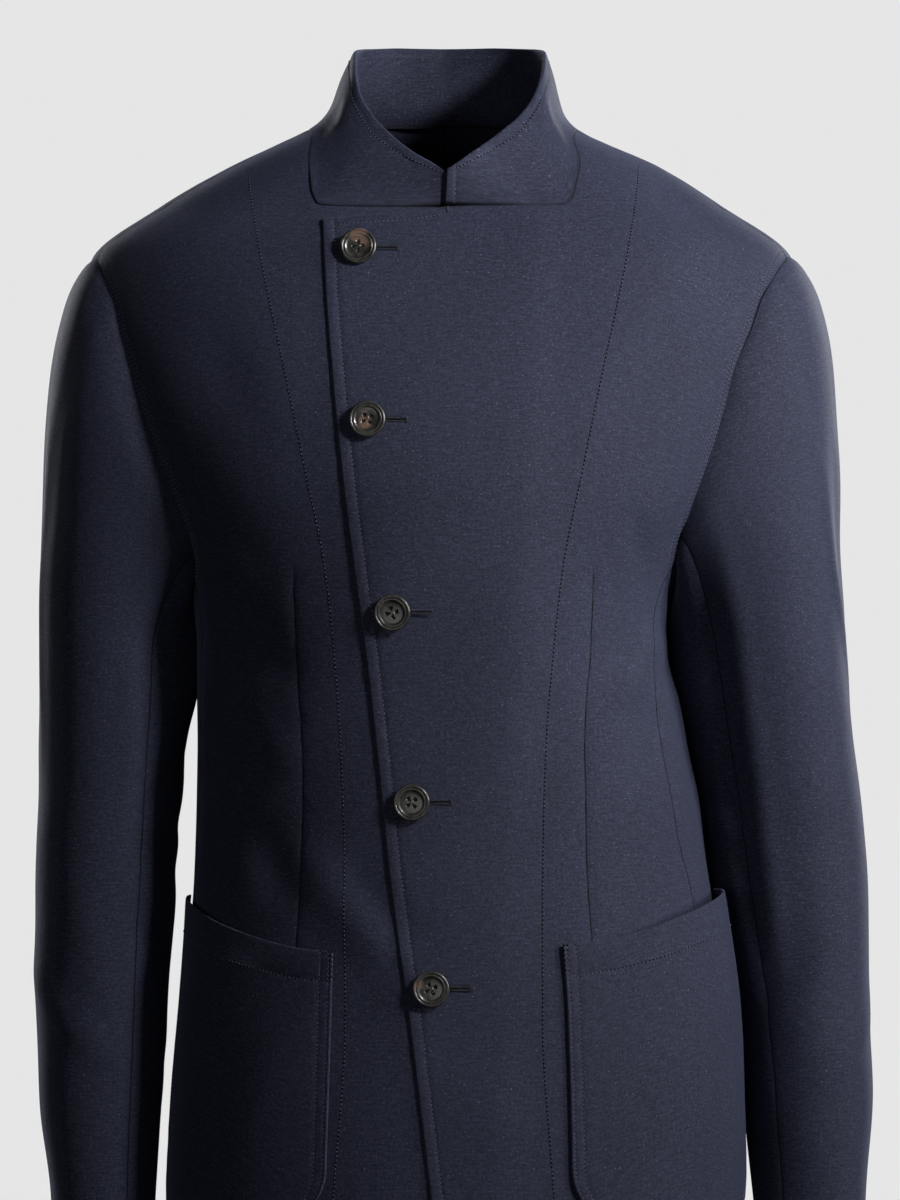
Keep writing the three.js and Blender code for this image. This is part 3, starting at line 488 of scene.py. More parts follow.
@dataclass(frozen=True)
class Edge:
    """How one border of a piece is finished, or the part of it that lies in a zone.

    Sizes: the distances of its topstitched rows, the swelling between the edge and its first row, the
    depth of the valley that a seam leaves and how far it reaches, the size of the puckers along it, the
    depth and width of the groove under each row, the width over which its corner is rounded, and the
    width of the painted shade that darkens the cloth's colour along the seam's groove.
    """

    rows: tuple[float, ...] = ()
    puff: float = 0.0
    sink: float = 0.0
    pucker: float = 0.0
    groove: float = 0.28
    rounding: float = 0.9
    reach: float = 3.0
    # line: width of the painted seam shade, near black put into the cloth's colour along the seam's groove
    line: float = 0.0
    zone: Zone = everywhere
    groove_width: float = 0.55
    pucker_reach: float = 7.0
    plain_marks: tuple[float, ...] = (0, 0.12, 0.35, 0.7, 1.1, 1.7, 2.6, 4.0)
    row_marks: tuple[float, ...] = (-1.0, -0.45, 0.0, 0.45, 1.0)
    apart: float = 0.3
    first_mark: float = 0.1
    ripples: tuple[float, float, float] = (2.9, 4.7, 1.3)

    def marks(self) -> list[float]:
        """Distances from the border at which the mesh has a line of points.

        Returns:
            The distances, rising from nought.
        """
        stitched = [row + mark for row in self.rows for mark in self.row_marks]
        plain = [
            mark for mark in self.plain_marks if all(abs(mark - other) > self.apart for other in stitched)
        ]
        return sorted({0.0, *plain, *(mark for mark in stitched if mark > self.first_mark)})

    def relief(self, distance: Array, along: Array) -> Array:
        """Height at a distance from the border.

        The valley falls off as an exponential, the swelling is half a sine up to the first row, each row
        of stitches is a narrow bell downwards, and the puckers are two sines along the border that fade
        with the distance.

        Args:
            distance: distances from the border.
            along: distances along it.

        Returns:
            The heights.
        """
        height = -self.sink * np.exp(-distance / self.reach)
        if self.rows:
            height = height + self.puff * np.sin(np.pi * np.clip(distance / self.rows[0], 0, 1)) ** 0.8
        for row in self.rows:
            height = height - self.groove * bell(distance - row, self.groove_width)
        short, long, start = self.ripples
        ripple = 0.6 * (np.sin(along / short) + np.sin(along / long + start))
        return height + self.pucker * ripple * np.exp(-distance / self.pucker_reach)

    def shade(self, distance: Array) -> Array:
        """Share of the painted seam shade at a distance, a flat-topped bell as wide as the line."""
        return bell(distance, self.line, 4) if self.line else 0 * distance


# line: width of the painted shade along a sewn seam's groove
SEWN = Edge(sink=0.5, pucker=0.16, rounding=0.28, reach=2.4, line=0.6)
FLAT_SEWN = Edge(sink=0.04, pucker=0.06, rounding=0.12)
PLAIN = Edge()
Edges = tuple[Edge, ...]
MARKS_APART = 0.2
# Numbers of stations at which the length and the width of a piece of cloth are measured
STATIONS_DOWN, STATIONS_ACROSS = 401, 81


def marks_of(edges: Edges) -> list[float]:
    """Distances of the mesh's lines along a border that has one or more edges.

    Args:
        edges: the border's edges.

    Returns:
        The distances, rising from nought.
    """
    found = edges[0].marks()
    for edge in edges[1:]:
        found += [mark for mark in edge.marks() if min(abs(mark - other) for other in found) > MARKS_APART]
    return sorted(found)


def marked(edges: Edges, distance: float, count: int, far: bool) -> int:
    """Number of the grid's line at a marked distance from a border, or from the far one of count lines."""
    number = int(np.argmin(np.abs(np.array(marks_of(edges)) - distance)))
    return count - 1 - number if far else number


@dataclass
class Patch:
    """A grid of cloth points, rows by columns, with their outward directions, flat coordinates, the width
    over which the cloth is rounded at its borders, the share of the painted seam shade, and the rows' shares."""

    points: Array
    normals: Array
    flat: Array
    rounding: Array
    # dark: share of the painted seam shade at each point
    dark: Array
    rows_down: Array

    def line(self, row: slice | int, column: slice | int) -> Line:
        """Points and directions along part of one row or column."""
        return self.points[row, column], self.normals[row, column]

    def table(self) -> Array:
        """A row of ten numbers for each point: its place, direction, flat place, rounding and painted seam
        shade.
        """
        single = self.rounding[..., None], self.dark[..., None]
        return np.concatenate([self.points, self.normals, self.flat, *single], axis=-1).reshape(-1, 10)


@dataclass
class Layout:
    """A piece of cloth as a map from shares across (s) and down (t) to its form's two coordinates."""

    form: Form
    place: Callable[[Array, Array], tuple[Array, Array]]
    top: Edges = (PLAIN,)
    bottom: Edges = (PLAIN,)
    start: Edges = (PLAIN,)
    end: Edges = (PLAIN,)
    step: float = 4.0
    lift: Lift = level

    def shares_down(self) -> Array:
        """Shares down the piece: close marks near both ends, even steps between, by the length of its
        middle line.

        Returns:
            The rows' shares.
        """
        t = np.linspace(0, 1, STATIONS_DOWN)
        middle = self.form.base(*self.place(np.full_like(t, 0.5), t))
        length = lengths(middle)
        wanted = spaced(length[-1:], self.step, marks_of(self.top), marks_of(self.bottom))
        return np.interp(wanted[0], length / length[-1], t)

    def patch(self, t: Optional[Array] = None) -> Patch:
        """Lays the grid.

        Rows stand at the given shares down. In each row the columns stand at true distances from both
        sides, found by turning round that row's length as a function of s; the rows are kept apart by
        adding twice the row's number, so that one interpolation serves them all.

        Args:
            t: shares down, or None for the piece's own.

        Returns:
            The grid with its relief.
        """
        t = self.shares_down() if t is None else t
        coarse = np.linspace(0, 1, STATIONS_ACROSS)
        base = self.form.base(*self.place(*np.meshgrid(coarse, t)))
        run = lengths(base)
        width = run[:, -1]
        wanted = spaced(width, self.step, marks_of(self.start), marks_of(self.end))
        apart = 2.0 * np.arange(len(t))[:, None]
        known = (run / width[:, None] + apart).ravel()
        s = np.interp((wanted + apart).ravel(), known, (coarse[None] + apart).ravel())
        s = np.clip(s.reshape(wanted.shape) - apart, 0, 1)
        tt = np.broadcast_to(t[:, None], s.shape)
        a, b = self.place(s, tt)
        plain = self.form.base(a, b)
        down = lengths(plain.swapaxes(0, 1)).T
        across = wanted * width[:, None]
        sides = (
            (self.start, across, down, np.s_[:, 0]),
            (self.end, width[:, None] - across, down, np.s_[:, -1]),
            (self.top, down, across, np.s_[0, :]),
            (self.bottom, down[-1:] - down, across, np.s_[-1, :]),
        )
        out = self.lift(a, b, s, tt) + np.zeros(s.shape)
        rounding, dark = np.full(s.shape, PLAIN.rounding), np.zeros(s.shape)
        for edges, distance, along, border in sides:
            widest = np.zeros(s.shape)
            for edge in edges:
                share = edge.zone(a, b)
                out += edge.relief(distance, along) * share
                widest += edge.rounding * share
                # Painted seam shade: each edge's share of the dark that stands in for the seam groove's
                # shadow
                dark = np.maximum(dark, edge.shade(distance) * share)
            rounding[border] = np.minimum(rounding, np.maximum(widest, FLAT_SEWN.rounding))[border]
        points, normals = self.form.cloth(a, b, out)
        flat = places(across - width[:, None] / 2, down[-1:] - down)
        return Patch(points, normals, flat, rounding, dark, t)

    def column(self, patch: Patch, distance: float, from_end: bool = False) -> int:
        """Number of the column at a marked distance from the start or the end."""
        return marked(self.end if from_end else self.start, distance, patch.points.shape[1], from_end)

    def row(self, patch: Patch, distance: float, from_bottom: bool = False) -> int:
        """Number of the row at a marked distance from the top or the bottom."""
        return marked(self.bottom if from_bottom else self.top, distance, patch.points.shape[0], from_bottom)


def spaced(length: Array, step: float, start: Sequence[float], end: Sequence[float]) -> Array:
    """Shares of lines at fixed distances from both ends and in even steps between them.

    Args:
        length: the lines' lengths.
        step: the widest even step.
        start: distances from the start, rising from nought.
        end: distances from the end, rising from nought.

    Returns:
        One row of shares for each line.
    """
    length = np.asarray(length, float)[:, None]
    near = np.array(start)[None] + 0 * length
    far = length - np.array(end)[::-1][None]
    count = max(2, math.ceil(float((far[:, :1] - near[:, -1:]).max()) / step))
    even = np.linspace(0, 1, count + 1)[1:-1]
    middle = near[:, -1:] + (far[:, :1] - near[:, -1:]) * even
    return np.hstack([near, middle, far]) / length


def between(top: Border, bottom: Border, inner: Border, outer: Border, s: Array, t: Array) -> tuple:
    """Places of a panel between its four borders.

    A straight mix of the side borders, plus the top's and the bottom's own bend, each fading with the
    cube of the distance from it.

    Args:
        top: the upper border, from the inner side to the outer side.
        bottom: the lower border.
        inner: the border at s = 0, downwards.
        outer: the border at s = 1, downwards.
        s: shares across.
        t: shares down.

    Returns:
        Turns and heights.
    """

    def bend(line: Border) -> Array:
        """A border's departure from the straight line between its ends."""
        ends = line(np.array([0.0, 1.0]))
        return line(s) - mix(ends[0], ends[1], s[..., None])

    u = t[..., None]
    place = mix(inner(t), outer(t), s[..., None]) + (1 - u) ** 3 * bend(top) + u**3 * bend(bottom)
    return place[..., 0], place[..., 1]


def nearness(points: Array, starts: Array, ends: Array, widths: Array, chunk: int = 1500) -> Array:
    """Distance from each point to the nearest of many straight pieces, in shares of the pieces' widths.

    The nearest place on a piece is the point's projection on it, held within its ends.

    Args:
        points: the points.
        starts: the pieces' first ends.
        ends: their second ends.
        widths: their widths.
        chunk: how many points are worked out at a time.

    Returns:
        One share for each point.
    """
    along = ends - starts
    square = np.maximum((along**2).sum(-1), 1e-12)
    found = []
    for first in range(0, len(points), chunk):
        offset = points[first:first + chunk, None] - starts[None]
        share = np.clip((offset * along).sum(-1) / square, 0, 1)
        gap = offset - share[..., None] * along
        found.append((np.sqrt((gap**2).sum(-1)) / widths).min(1))
    return np.concatenate(found)


def make_mesh(name: str, points: Array, faces: Sequence[Array], flat: Optional[Array] = None,
              dark: Optional[Array] = None) -> Piece:
    """Puts points and faces of any number of corners into a new object at the origin.

    Args:
        name: the piece's name.
        points: the points, in millimetres.
        faces: arrays of faces, one array for each number of corners.
        flat: flat coordinates of the points, in millimetres, for the UV map.
        dark: shares of the painted seam shade at the points, for the attribute "seam".

    Returns:
        The object, smooth shaded.
    """
    faces = [np.asarray(block, int) for block in faces if len(block)]
    corners = np.concatenate([block.ravel() for block in faces])
    counts = np.concatenate([np.full(len(block), block.shape[1]) for block in faces])
    mesh = bpy.data.meshes.new(name)
    mesh.vertices.add(len(points))
    mesh.vertices.foreach_set("co", (np.asarray(points) * MM).astype(np.float32).ravel())
    mesh.loops.add(len(corners))
    mesh.loops.foreach_set("vertex_index", corners.astype(np.int32))
    mesh.polygons.add(len(counts))
    mesh.polygons.foreach_set("loop_start", (np.cumsum(counts) - counts).astype(np.int32))
    mesh.update(calc_edges=True)
    mesh.polygons.foreach_set("use_smooth", np.ones(len(counts), bool))
    if flat is not None:
        layer = mesh.uv_layers.new(name="UVMap")
        layer.data.foreach_set("uv", (flat[corners] * MM).astype(np.float32).ravel())
    if dark is not None:
        # The attribute "seam" carries the painted seam shade into the cloth's colour
        shares = mesh.attributes.new("seam", "FLOAT", "POINT")
        shares.data.foreach_set("value", dark.astype(np.float32))
    mesh.validate()
    piece = bpy.data.objects.new(name, mesh)
    bpy.context.scene.collection.objects.link(piece)
    return piece


def grid_faces(rows: int, columns: int, first: int = 0) -> Array:
    """Four-cornered faces of a grid of points stored row by row."""
    corner = first + np.arange(rows - 1)[:, None] * columns + np.arange(columns - 1)[None]
    return np.stack([corner, corner + 1, corner + columns + 1, corner + columns], -1).reshape(-1, 4)


@dataclass(frozen=True)
class Wall:
    """A closed wall of cloth round its face, with rounded edges."""

    thickness: float = CLOTH

    def build(self, name: str, patches: Sequence[Patch]) -> Piece:
        """Makes one wall of one or more patches that share border points.

        Points in the same place become one. Near the free border both faces draw together on a quarter
        ellipse, as wide as the border's rounding, and meet at mid-thickness, which closes the wall.

        Args:
            name: the piece's name.
            patches: its grids.

        Returns:
            The wall as an object.
        """
        table = np.concatenate([patch.table() for patch in patches])
        grids = [patch.points.shape[:2] for patch in patches]
        starts = np.cumsum([0, *(rows * columns for rows, columns in grids)])
        faces = np.concatenate([grid_faces(*grid, first) for grid, first in zip(grids, starts)])
        _, kept, same = np.unique(np.round(table[:, :3], 3), axis=0, return_index=True, return_inverse=True)
        points, normals, flat, rounding, dark = np.split(table[kept], (3, 6, 8, 9), axis=1)
        quads = same.ravel()[faces]
        sides = np.cross(points[quads[:, 2]] - points[quads[:, 0]], points[quads[:, 3]] - points[quads[:, 1]])
        if (sides * normals[quads[:, 0]]).sum() < 0:
            quads = quads[:, ::-1]
        rim = self.rim(quads)
        widths = rounding.ravel()[rim].mean(1)
        near = np.clip(nearness(points, points[rim[:, 0]], points[rim[:, 1]], widths), 0, 1)[:, None]
        inset = self.thickness / 2 * (1 - np.sqrt(1 - (1 - near) ** 2))
        inside = np.ones(len(points), bool)
        inside[rim.ravel()] = False
        below = np.where(inside, len(points) + np.cumsum(inside) - 1, np.arange(len(points)))
        inner = points - normals * (self.thickness - inset)
        every = np.concatenate([points - normals * inset, inner[inside]])
        twice = np.concatenate([np.arange(len(points)), np.flatnonzero(inside)])
        walls = np.concatenate([quads, below[quads][:, ::-1]])
        return make_mesh(name, every, [walls], flat[twice], dark.ravel()[twice])

    @staticmethod
    def rim(quads: Array) -> Array:
        """Pairs of points along the free border: the faces' sides that only one face has.

        Args:
            quads: the face's four-cornered faces.

        Returns:
            The points' numbers, in rising pairs.
        """
        edges = np.sort(np.stack([quads, np.roll(quads, -1, 1)], -1).reshape(-1, 2), axis=1)
        pairs, uses = np.unique(edges, axis=0, return_counts=True)
        return pairs[uses == 1]


def turned(profile: Sequence[tuple[float, float]], segments: int) -> Shape:
    """A profile of radii and heights turned about the height axis, with both ends on the axis.

    A ring point is the radius times the sine and cosine of its angle.

    Args:
        profile: radii and heights from one pole to the other.
        segments: points round each ring.

    Returns:
        Points, triangles at the two poles and four-cornered faces between the rings.
    """
    angle, profile = circle(segments), np.asarray(profile, float)
    radius, height = profile[1:-1, :1], profile[1:-1, 1:]
    rings = places(radius * np.cos(angle), radius * np.sin(angle), height).reshape(-1, 3)
    points = np.concatenate([[[0, 0, profile[0, 1]]], rings, [[0, 0, profile[-1, 1]]]])
    k = np.arange(segments)
    after = (k + 1) % segments
    last = len(points) - 1
    low = np.stack([0 * k, 1 + after, 1 + k], -1)
    high = np.stack([0 * k + last, last - segments + k, last - segments + after], -1)
    ring = (1 + np.arange(len(radius) - 1) * segments)[:, None]
    quads = np.stack([ring + k, ring + after, ring + segments + after, ring + segments + k], -1)
    return points, np.concatenate([low, high]), quads.reshape(-1, 4)


def joined(parts: Sequence[Shape]) -> Shape:
    """Several shapes, each of points and two blocks of faces, as one.

    Args:
        parts: the shapes.

    Returns:
        One shape, empty where there are none.
    """
    if not parts:
        return np.zeros((0, 3)), np.zeros((0, 3), int), np.zeros((0, 4), int)
    points, *blocks = zip(*parts)
    starts = np.cumsum([0, *map(len, points)])
    moved = (np.concatenate([faces + first for faces, first in zip(block, starts)]) for block in blocks)
    return np.concatenate(points), *moved


@dataclass(frozen=True)
class Topstitch:
    """Thread laid as single stitches that dive into needle holes in the cloth."""

    pitch: float = 2.7
    length: float = 1.45
    radius: float = 0.27
    proud: float = 0.12
    sides: int = 5
    dive: float = 1.2
    stations: tuple[float, ...] = (-0.5, -0.32, 0.0, 0.32, 0.5)
    shoulder: float = 0.75
    look: float = 0.6
    first_hole: float = 0.02
    # Sizes of the needle holes' painted shade: a low dark bead sits at each hole
    hole: float = 0.82
    hole_top: float = 0.13
    hole_base: float = -0.04
    hole_floor: float = -0.4
    hole_oval: float = 0.8

    def stitch(self, length: float) -> Shape:
        """One stitch along X: a pole, three rings that rise in the middle and a pole.

        Args:
            length: how long it is.

        Returns:
            Its shape at the origin.
        """
        low, shoulder = -self.dive * self.radius, self.shoulder * self.proud
        bow = (low, shoulder, self.proud, shoulder, low)
        points, *faces = turned([(self.radius, share) for share in self.stations], self.sides)
        rise = np.interp(points[:, 2], self.stations, bow)
        return places(points[:, 2] * length, points[:, 0], points[:, 1] + rise), *faces

    def hole_shade_bead(self) -> Shape:
        """The painted shade of one needle hole, as a low dark bead: a pole under and a pole over an oval
        ring.

        Returns:
            Its shape at the origin.
        """
        profile = [(0, self.hole_floor), (self.hole, self.hole_base), (0, self.hole_top)]
        points, *faces = turned(profile, self.sides)
        return points * np.array([1, self.hole_oval, 1]), *faces

    def lay(self, shape: Shape, centres: Array, along: Array, normals: Array) -> Shape:
        """Copies of a shape at places with their own directions.

        Args:
            shape: the shape, along X and upright on Z.
            centres: places of the copies.
            along: unit vectors of their X.
            normals: unit vectors of their Z.

        Returns:
            All copies as one shape.
        """
        corners, tris, quads = shape
        across = unit(np.cross(normals, along))
        axes = np.stack([along, across, np.cross(along, across)], axis=1)
        points = centres[:, None] + corners[None] @ axes
        first = (np.arange(len(centres)) * len(corners))[:, None, None]
        return points.reshape(-1, 3), (first + tris).reshape(-1, 3), (first + quads).reshape(-1, 4)

    def resampled(self, line: Line, pitch: float, offset: float = 0.5) -> Shape:
        """Even places along a line, with the line's direction and the cloth's there.

        Args:
            line: the line.
            pitch: distance between places.
            offset: the first place, in shares of the pitch.

        Returns:
            Places, the line's directions and the cloth's.
        """
        points, normals = line
        run = lengths(points)
        count = max(1, int(run[-1] / pitch))
        at = (np.arange(count) + offset) * run[-1] / count
        ahead, behind = (sampled(at + step, run, points) for step in (self.look, -self.look))
        return sampled(at, run, points), unit(ahead - behind), unit(sampled(at, run, normals))

    def row(self, line: Line) -> Shape:
        """A row of stitches end to end along a line on the cloth."""
        return self.lay(self.stitch(self.length), *self.resampled(line, self.pitch))

    def holes(self, line: Line) -> Shape:
        """Dark beads of painted shade at the needle holes between the stitches of a row."""
        return self.lay(self.hole_shade_bead(), *self.resampled(line, self.pitch, self.first_hole))

    def bars(self, line: Line, length: float, pitch: float) -> Shape:
        """Close stitches that lie across a line on the cloth."""
        place, along, normal = self.resampled(line, pitch)
        return self.lay(self.stitch(length), place, unit(np.cross(normal, along)), normal)

    def sew(self, name: str, lines: Sequence[Line], finishes: "Finishes",
            bars: Sequence[Shape] = ()) -> Piece:
        """Sews rows of stitches along lines, and bars of close ones, as one piece that rides on the body.

        Args:
            name: the piece's name.
            lines: lines on the cloth, each with the cloth's directions along it.
            finishes: the materials: thread, the painted shade of the needle holes and the bars' dark thread.
            bars: bars that are laid already.

        Returns:
            The piece.
        """
        parts = [joined([self.row(line) for line in lines]), joined([self.holes(line) for line in lines])]
        parts.append(joined(bars))
        points, tris, quads = joined(parts)
        kinds = [np.repeat(range(3), [len(part[block]) for part in parts]) for block in (1, 2)]
        piece = make_mesh(name, points, [tris, quads])
        for finish in (finishes.thread, finishes.hole, finishes.dark_thread):
            piece.data.materials.append(finish)
        piece.data.polygons.foreach_set("material_index", np.concatenate(kinds).astype(np.int32))
        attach(piece, BODY_NAME)
        return piece


class Value:
    """A shader socket in a formula: its operators add Math nodes."""

    def __init__(self, recipe: "Recipe", socket: bpy.types.NodeSocket) -> None:
        """Keeps the socket and the recipe that it belongs to."""
        self.recipe, self.socket = recipe, socket

    def math(self, operation: str, *others: Union["Value", float]) -> "Value":
        """A Math node on this value and others."""
        return self.recipe.node("ShaderNodeMath", {"operation": operation}, dict(enumerate([self, *others])))

    def __add__(self, other: Union["Value", float]) -> "Value":
        """Sum."""
        return self.math("ADD", other)

    def __mul__(self, other: Union["Value", float]) -> "Value":
        """Product."""
        return self.math("MULTIPLY", other)

    def __sub__(self, other: Union["Value", float]) -> "Value":
        """Difference."""
        return self.math("SUBTRACT", other)

    def __rsub__(self, other: float) -> "Value":
        """Difference from a number."""
        return self * -1.0 + other

    def __pow__(self, other: float) -> "Value":
        """Power."""
        return self.math("POWER", other)

    __radd__, __rmul__ = __add__, __mul__

    def sine(self) -> "Value":
        """Sine, in radians."""
        return self.math("SINE")

    def between(self, low: float, high: float) -> "Value":
        """Smooth share from 0 at low to 1 at high."""
        inputs = {"Value": self, "From Min": low, "From Max": high}
        return self.recipe.node("ShaderNodeMapRange", {"interpolation_type": "SMOOTHSTEP"}, inputs, "Result")


class Recipe:
    """One material's node tree, written as formulas."""

    def __init__(self, name: str) -> None:
        """Starts a material with its output and a Principled shader.

        Args:
            name: the material's name.
        """
        self.material = bpy.data.materials.new(name)
        self.material.use_nodes = True
        self.tree = self.material.node_tree
        self.tree.nodes.clear()
        self.shader = self.tree.nodes.new("ShaderNodeBsdfPrincipled")
        output = self.tree.nodes.new("ShaderNodeOutputMaterial")
        self.tree.links.new(self.shader.outputs[0], output.inputs["Surface"])

    def put(self, socket: bpy.types.NodeSocket, value: object) -> None:
        """Links a value to a socket, or sets the socket's own number, vector or colour."""
        if isinstance(value, Value):
            self.tree.links.new(value.socket, socket)
        else:
            socket.default_value = value

    def node(self, kind: str, settings: dict, inputs: dict, output: Union[str, int] = 0) -> Value:
        """Adds a node of any kind.

        Args:
            kind: the node's type.
            settings: its properties, set first.
            inputs: values or links of its sockets, by name or number.
            output: the socket that the result reads.

        Returns:
            That output as a value.
        """
        made = self.tree.nodes.new(kind)
        for key, value in settings.items():
            setattr(made, key, value)
        for key, value in inputs.items():
            self.put(made.inputs[key], value)
        return Value(self, made.outputs[output])

    def place(self) -> Value:
        """A point's place in its piece's own coordinates."""
        return self.node("ShaderNodeTexCoord", {}, {}, "Object")

    def noise(self, place: Value, scale: float, detail: float = 2.0, rough: float = 0.5) -> Value:
        """Noise from 0 to 1 at a number of waves for each metre."""
        inputs = {"Vector": place, "Scale": scale, "Detail": detail, "Roughness": rough}
        return self.node("ShaderNodeTexNoise", {"noise_dimensions": "3D"}, inputs)

    def stretched(self, place: Value, scale: tuple[float, float, float], turn: float = 0.0) -> Value:
        """A place scaled, and turned about Z, by a Mapping node."""
        return self.node("ShaderNodeMapping", {}, {"Vector": place, "Scale": scale, "Rotation": (0, 0, turn)})

    def axis(self, place: Value, number: int) -> Value:
        """One coordinate of a place."""
        return self.node("ShaderNodeSeparateXYZ", {}, {0: place}, number)

    def blend(self, share: Value, first: object, second: object) -> Value:
        """Colour mixed from two by a share.

        Args:
            share: the share of the second.
            first: colour at 0.
            second: colour at 1.

        Returns:
            The colour.
        """
        made = self.tree.nodes.new("ShaderNodeMix")
        made.data_type = "RGBA"
        colours = [socket for socket in made.inputs if socket.type == "RGBA"]
        for socket, value in zip((made.inputs[0], *colours), (share, first, second)):
            self.put(socket, value)
        return Value(self, next(socket for socket in made.outputs if socket.type == "RGBA"))

    def bump(self, height: Value, metres: float, strength: float = 1.0) -> Value:
        """Normal from a height of which 1 is the given number of metres."""
        return self.node("ShaderNodeBump", {}, {"Height": height, "Distance": metres, "Strength": strength})

    def finish(self, **sockets: object) -> Material:
        """Sets the shader's sockets, whose names are written with underscores, and gives the material."""
        for name, value in sockets.items():
            self.put(self.shader.inputs[name.replace("_", " ")], value)
        return self.material


@dataclass(frozen=True)
class ClothFinish:
    """Fine navy cloth: heathered yarn with pale flecks, slubs both ways, ribs and a short nap."""

    name: str = "navy_twill"
    # Painted shade for the seams' grooves: near black blended in by the "seam" attribute
    seam: Colour = (0.0015, 0.0015, 0.003, 1)
    dark: Colour = (0.0108, 0.0125, 0.0245, 1)
    light: Colour = (0.0435, 0.049, 0.09, 1)
    fleck: Colour = (0.17, 0.18, 0.25, 1)
    yarns_per_m: float = 560.0
    rib_mm: float = 0.9
    clouds_per_m: float = 9.0
    relief_m: float = 0.00022
    rough: float = 0.78

    def make(self) -> Material:
        """Builds the material.

        The shade is a share of heathered noise, of slubs along both threads and of the ribs' sine across
        the flat coordinates; slow noise darkens and lightens it over the piece, the peaks of a finer
        noise are pale flecks, shade is painted near black into the seams' grooves by the "seam"
        attribute, and the same terms give the bump.

        Returns:
            The material.
        """
        r = Recipe(self.name)
        flat = r.node("ShaderNodeUVMap", {"uv_map": "UVMap"}, {})
        # Share of the painted seam shade, written by the cloth's mesh
        seam = r.node("ShaderNodeAttribute", {"attribute_name": "seam"}, {}, "Fac")
        looks = (
            ((1.0, 1.25), 3.0, 0.7), ((0.22, 1.35), 2.0, 0.6), ((1.35, 0.22), 2.0, 0.6),
            ((1.3, 1.6), 1.0, 0.5),
        )
        heather, weft, warp, spot = (
            r.noise(r.stretched(flat, (*stretch, 1.0)), self.yarns_per_m, detail, rough)
            for stretch, detail, rough in looks
        )
        slow = r.noise(r.place(), self.clouds_per_m, 2.0)
        rib = ((r.axis(flat, 0) + r.axis(flat, 1)) * (2000 * math.pi / self.rib_mm)).sine()
        fibre = r.noise(flat, self.yarns_per_m * 6, 1.0)
        yarn = heather.between(0.36, 0.66) * 0.5 + weft.between(0.4, 0.68) * 0.3
        shade = yarn + warp.between(0.45, 0.7) * 0.14 + rib * 0.03 + (slow - 0.5) * 0.3 + 0.03
        height = heather * 0.5 + weft * 0.4 + rib * 0.2 + fibre * 0.3
        ground = r.blend(spot.between(0.665, 0.76) * 0.6, r.blend(shade, self.dark, self.light), self.fleck)
        return r.finish(
            # Base colour darkened towards near black where seam shade is painted
            Base_Color=r.blend(seam * 0.92, ground, self.seam),
            Roughness=heather * 0.12 + (self.rough - 0.06),
            Normal=r.bump(height, self.relief_m, 0.85),
            Sheen_Weight=0.2,
            Sheen_Roughness=0.4,
            Sheen_Tint=(0.45, 0.5, 0.8, 1),
            Specular_IOR_Level=0.22,
        )


@dataclass(frozen=True)
class ThreadFinish:
    """Twisted navy thread, a little lighter than the cloth."""

    name: str = "navy_thread"
    dark: Colour = (0.03, 0.033, 0.055, 1)
    light: Colour = (0.12, 0.128, 0.18, 1)
    rough: float = 0.55

    def make(self) -> Material:
        """Builds the material: fine noise mixes the two shades and roughens the surface.

        Returns:
            The material.
        """
        r = Recipe(self.name)
        fibre = r.noise(r.stretched(r.place(), (1, 1, 2.4)), 2600, 2.0)
        return r.finish(
            Base_Color=r.blend(fibre.between(0.3, 0.75), self.dark, self.light),
            Roughness=fibre * 0.2 + self.rough,
            Normal=r.bump(fibre, 0.00008),
            Sheen_Weight=0.2,
            Sheen_Roughness=0.4,
        )


@dataclass(frozen=True)
class HoleShadeFinish:
    """Painted shade for the inside of a needle hole."""

    name: str = "needle_hole_shade"
    # Two near blacks of painted shade, mixed by fine noise
    colour: Colour = (0.002, 0.002, 0.004, 1)
    shade_speckle: Colour = (0.006, 0.006, 0.01, 1)

    def make(self) -> Material:
        """Builds the material: fine noise mixes two near blacks.

        Returns:
            The material.
        """
        r = Recipe(self.name)
        colour = r.blend(r.noise(r.place(), 3000, 1.0), self.colour, self.shade_speckle)
        return r.finish(Base_Color=colour, Roughness=0.95, Specular_IOR_Level=0.05)


@dataclass(frozen=True)
class HornFinish:
    """Half-polished dark horn with a few warm brown clouds and fine streaks."""

    name: str = "dark_horn"
    ground: Colour = (0.014, 0.0135, 0.012, 1)
    grey: Colour = (0.042, 0.041, 0.037, 1)
    warm: Colour = (0.19, 0.115, 0.082, 1)

    def make(self) -> Material:
        """Builds the material: streaked noise mixes the greys, and the peaks of a slow noise are warm.

        Returns:
            The material.
        """
        r = Recipe(self.name)
        place = r.place()
        streak = r.noise(r.stretched(place, (1.0, 1.0, 0.35), 0.6), 420, 3.0, 0.6)
        cloud = r.noise(place, 62, 3.0, 0.62)
        grain = r.noise(place, 1900, 2.0)
        ground = r.blend(streak.between(0.35, 0.7), self.ground, self.grey)
        return r.finish(
            Base_Color=r.blend(cloud.between(0.57, 0.68) * 0.75, ground, self.warm),
            Roughness=streak * 0.12 + 0.3,
            Normal=r.bump(grain * 0.5 + streak * 0.5, 0.00004),
            Coat_Weight=0.35,
            Coat_Roughness=0.18,
            Specular_IOR_Level=0.55,
        )


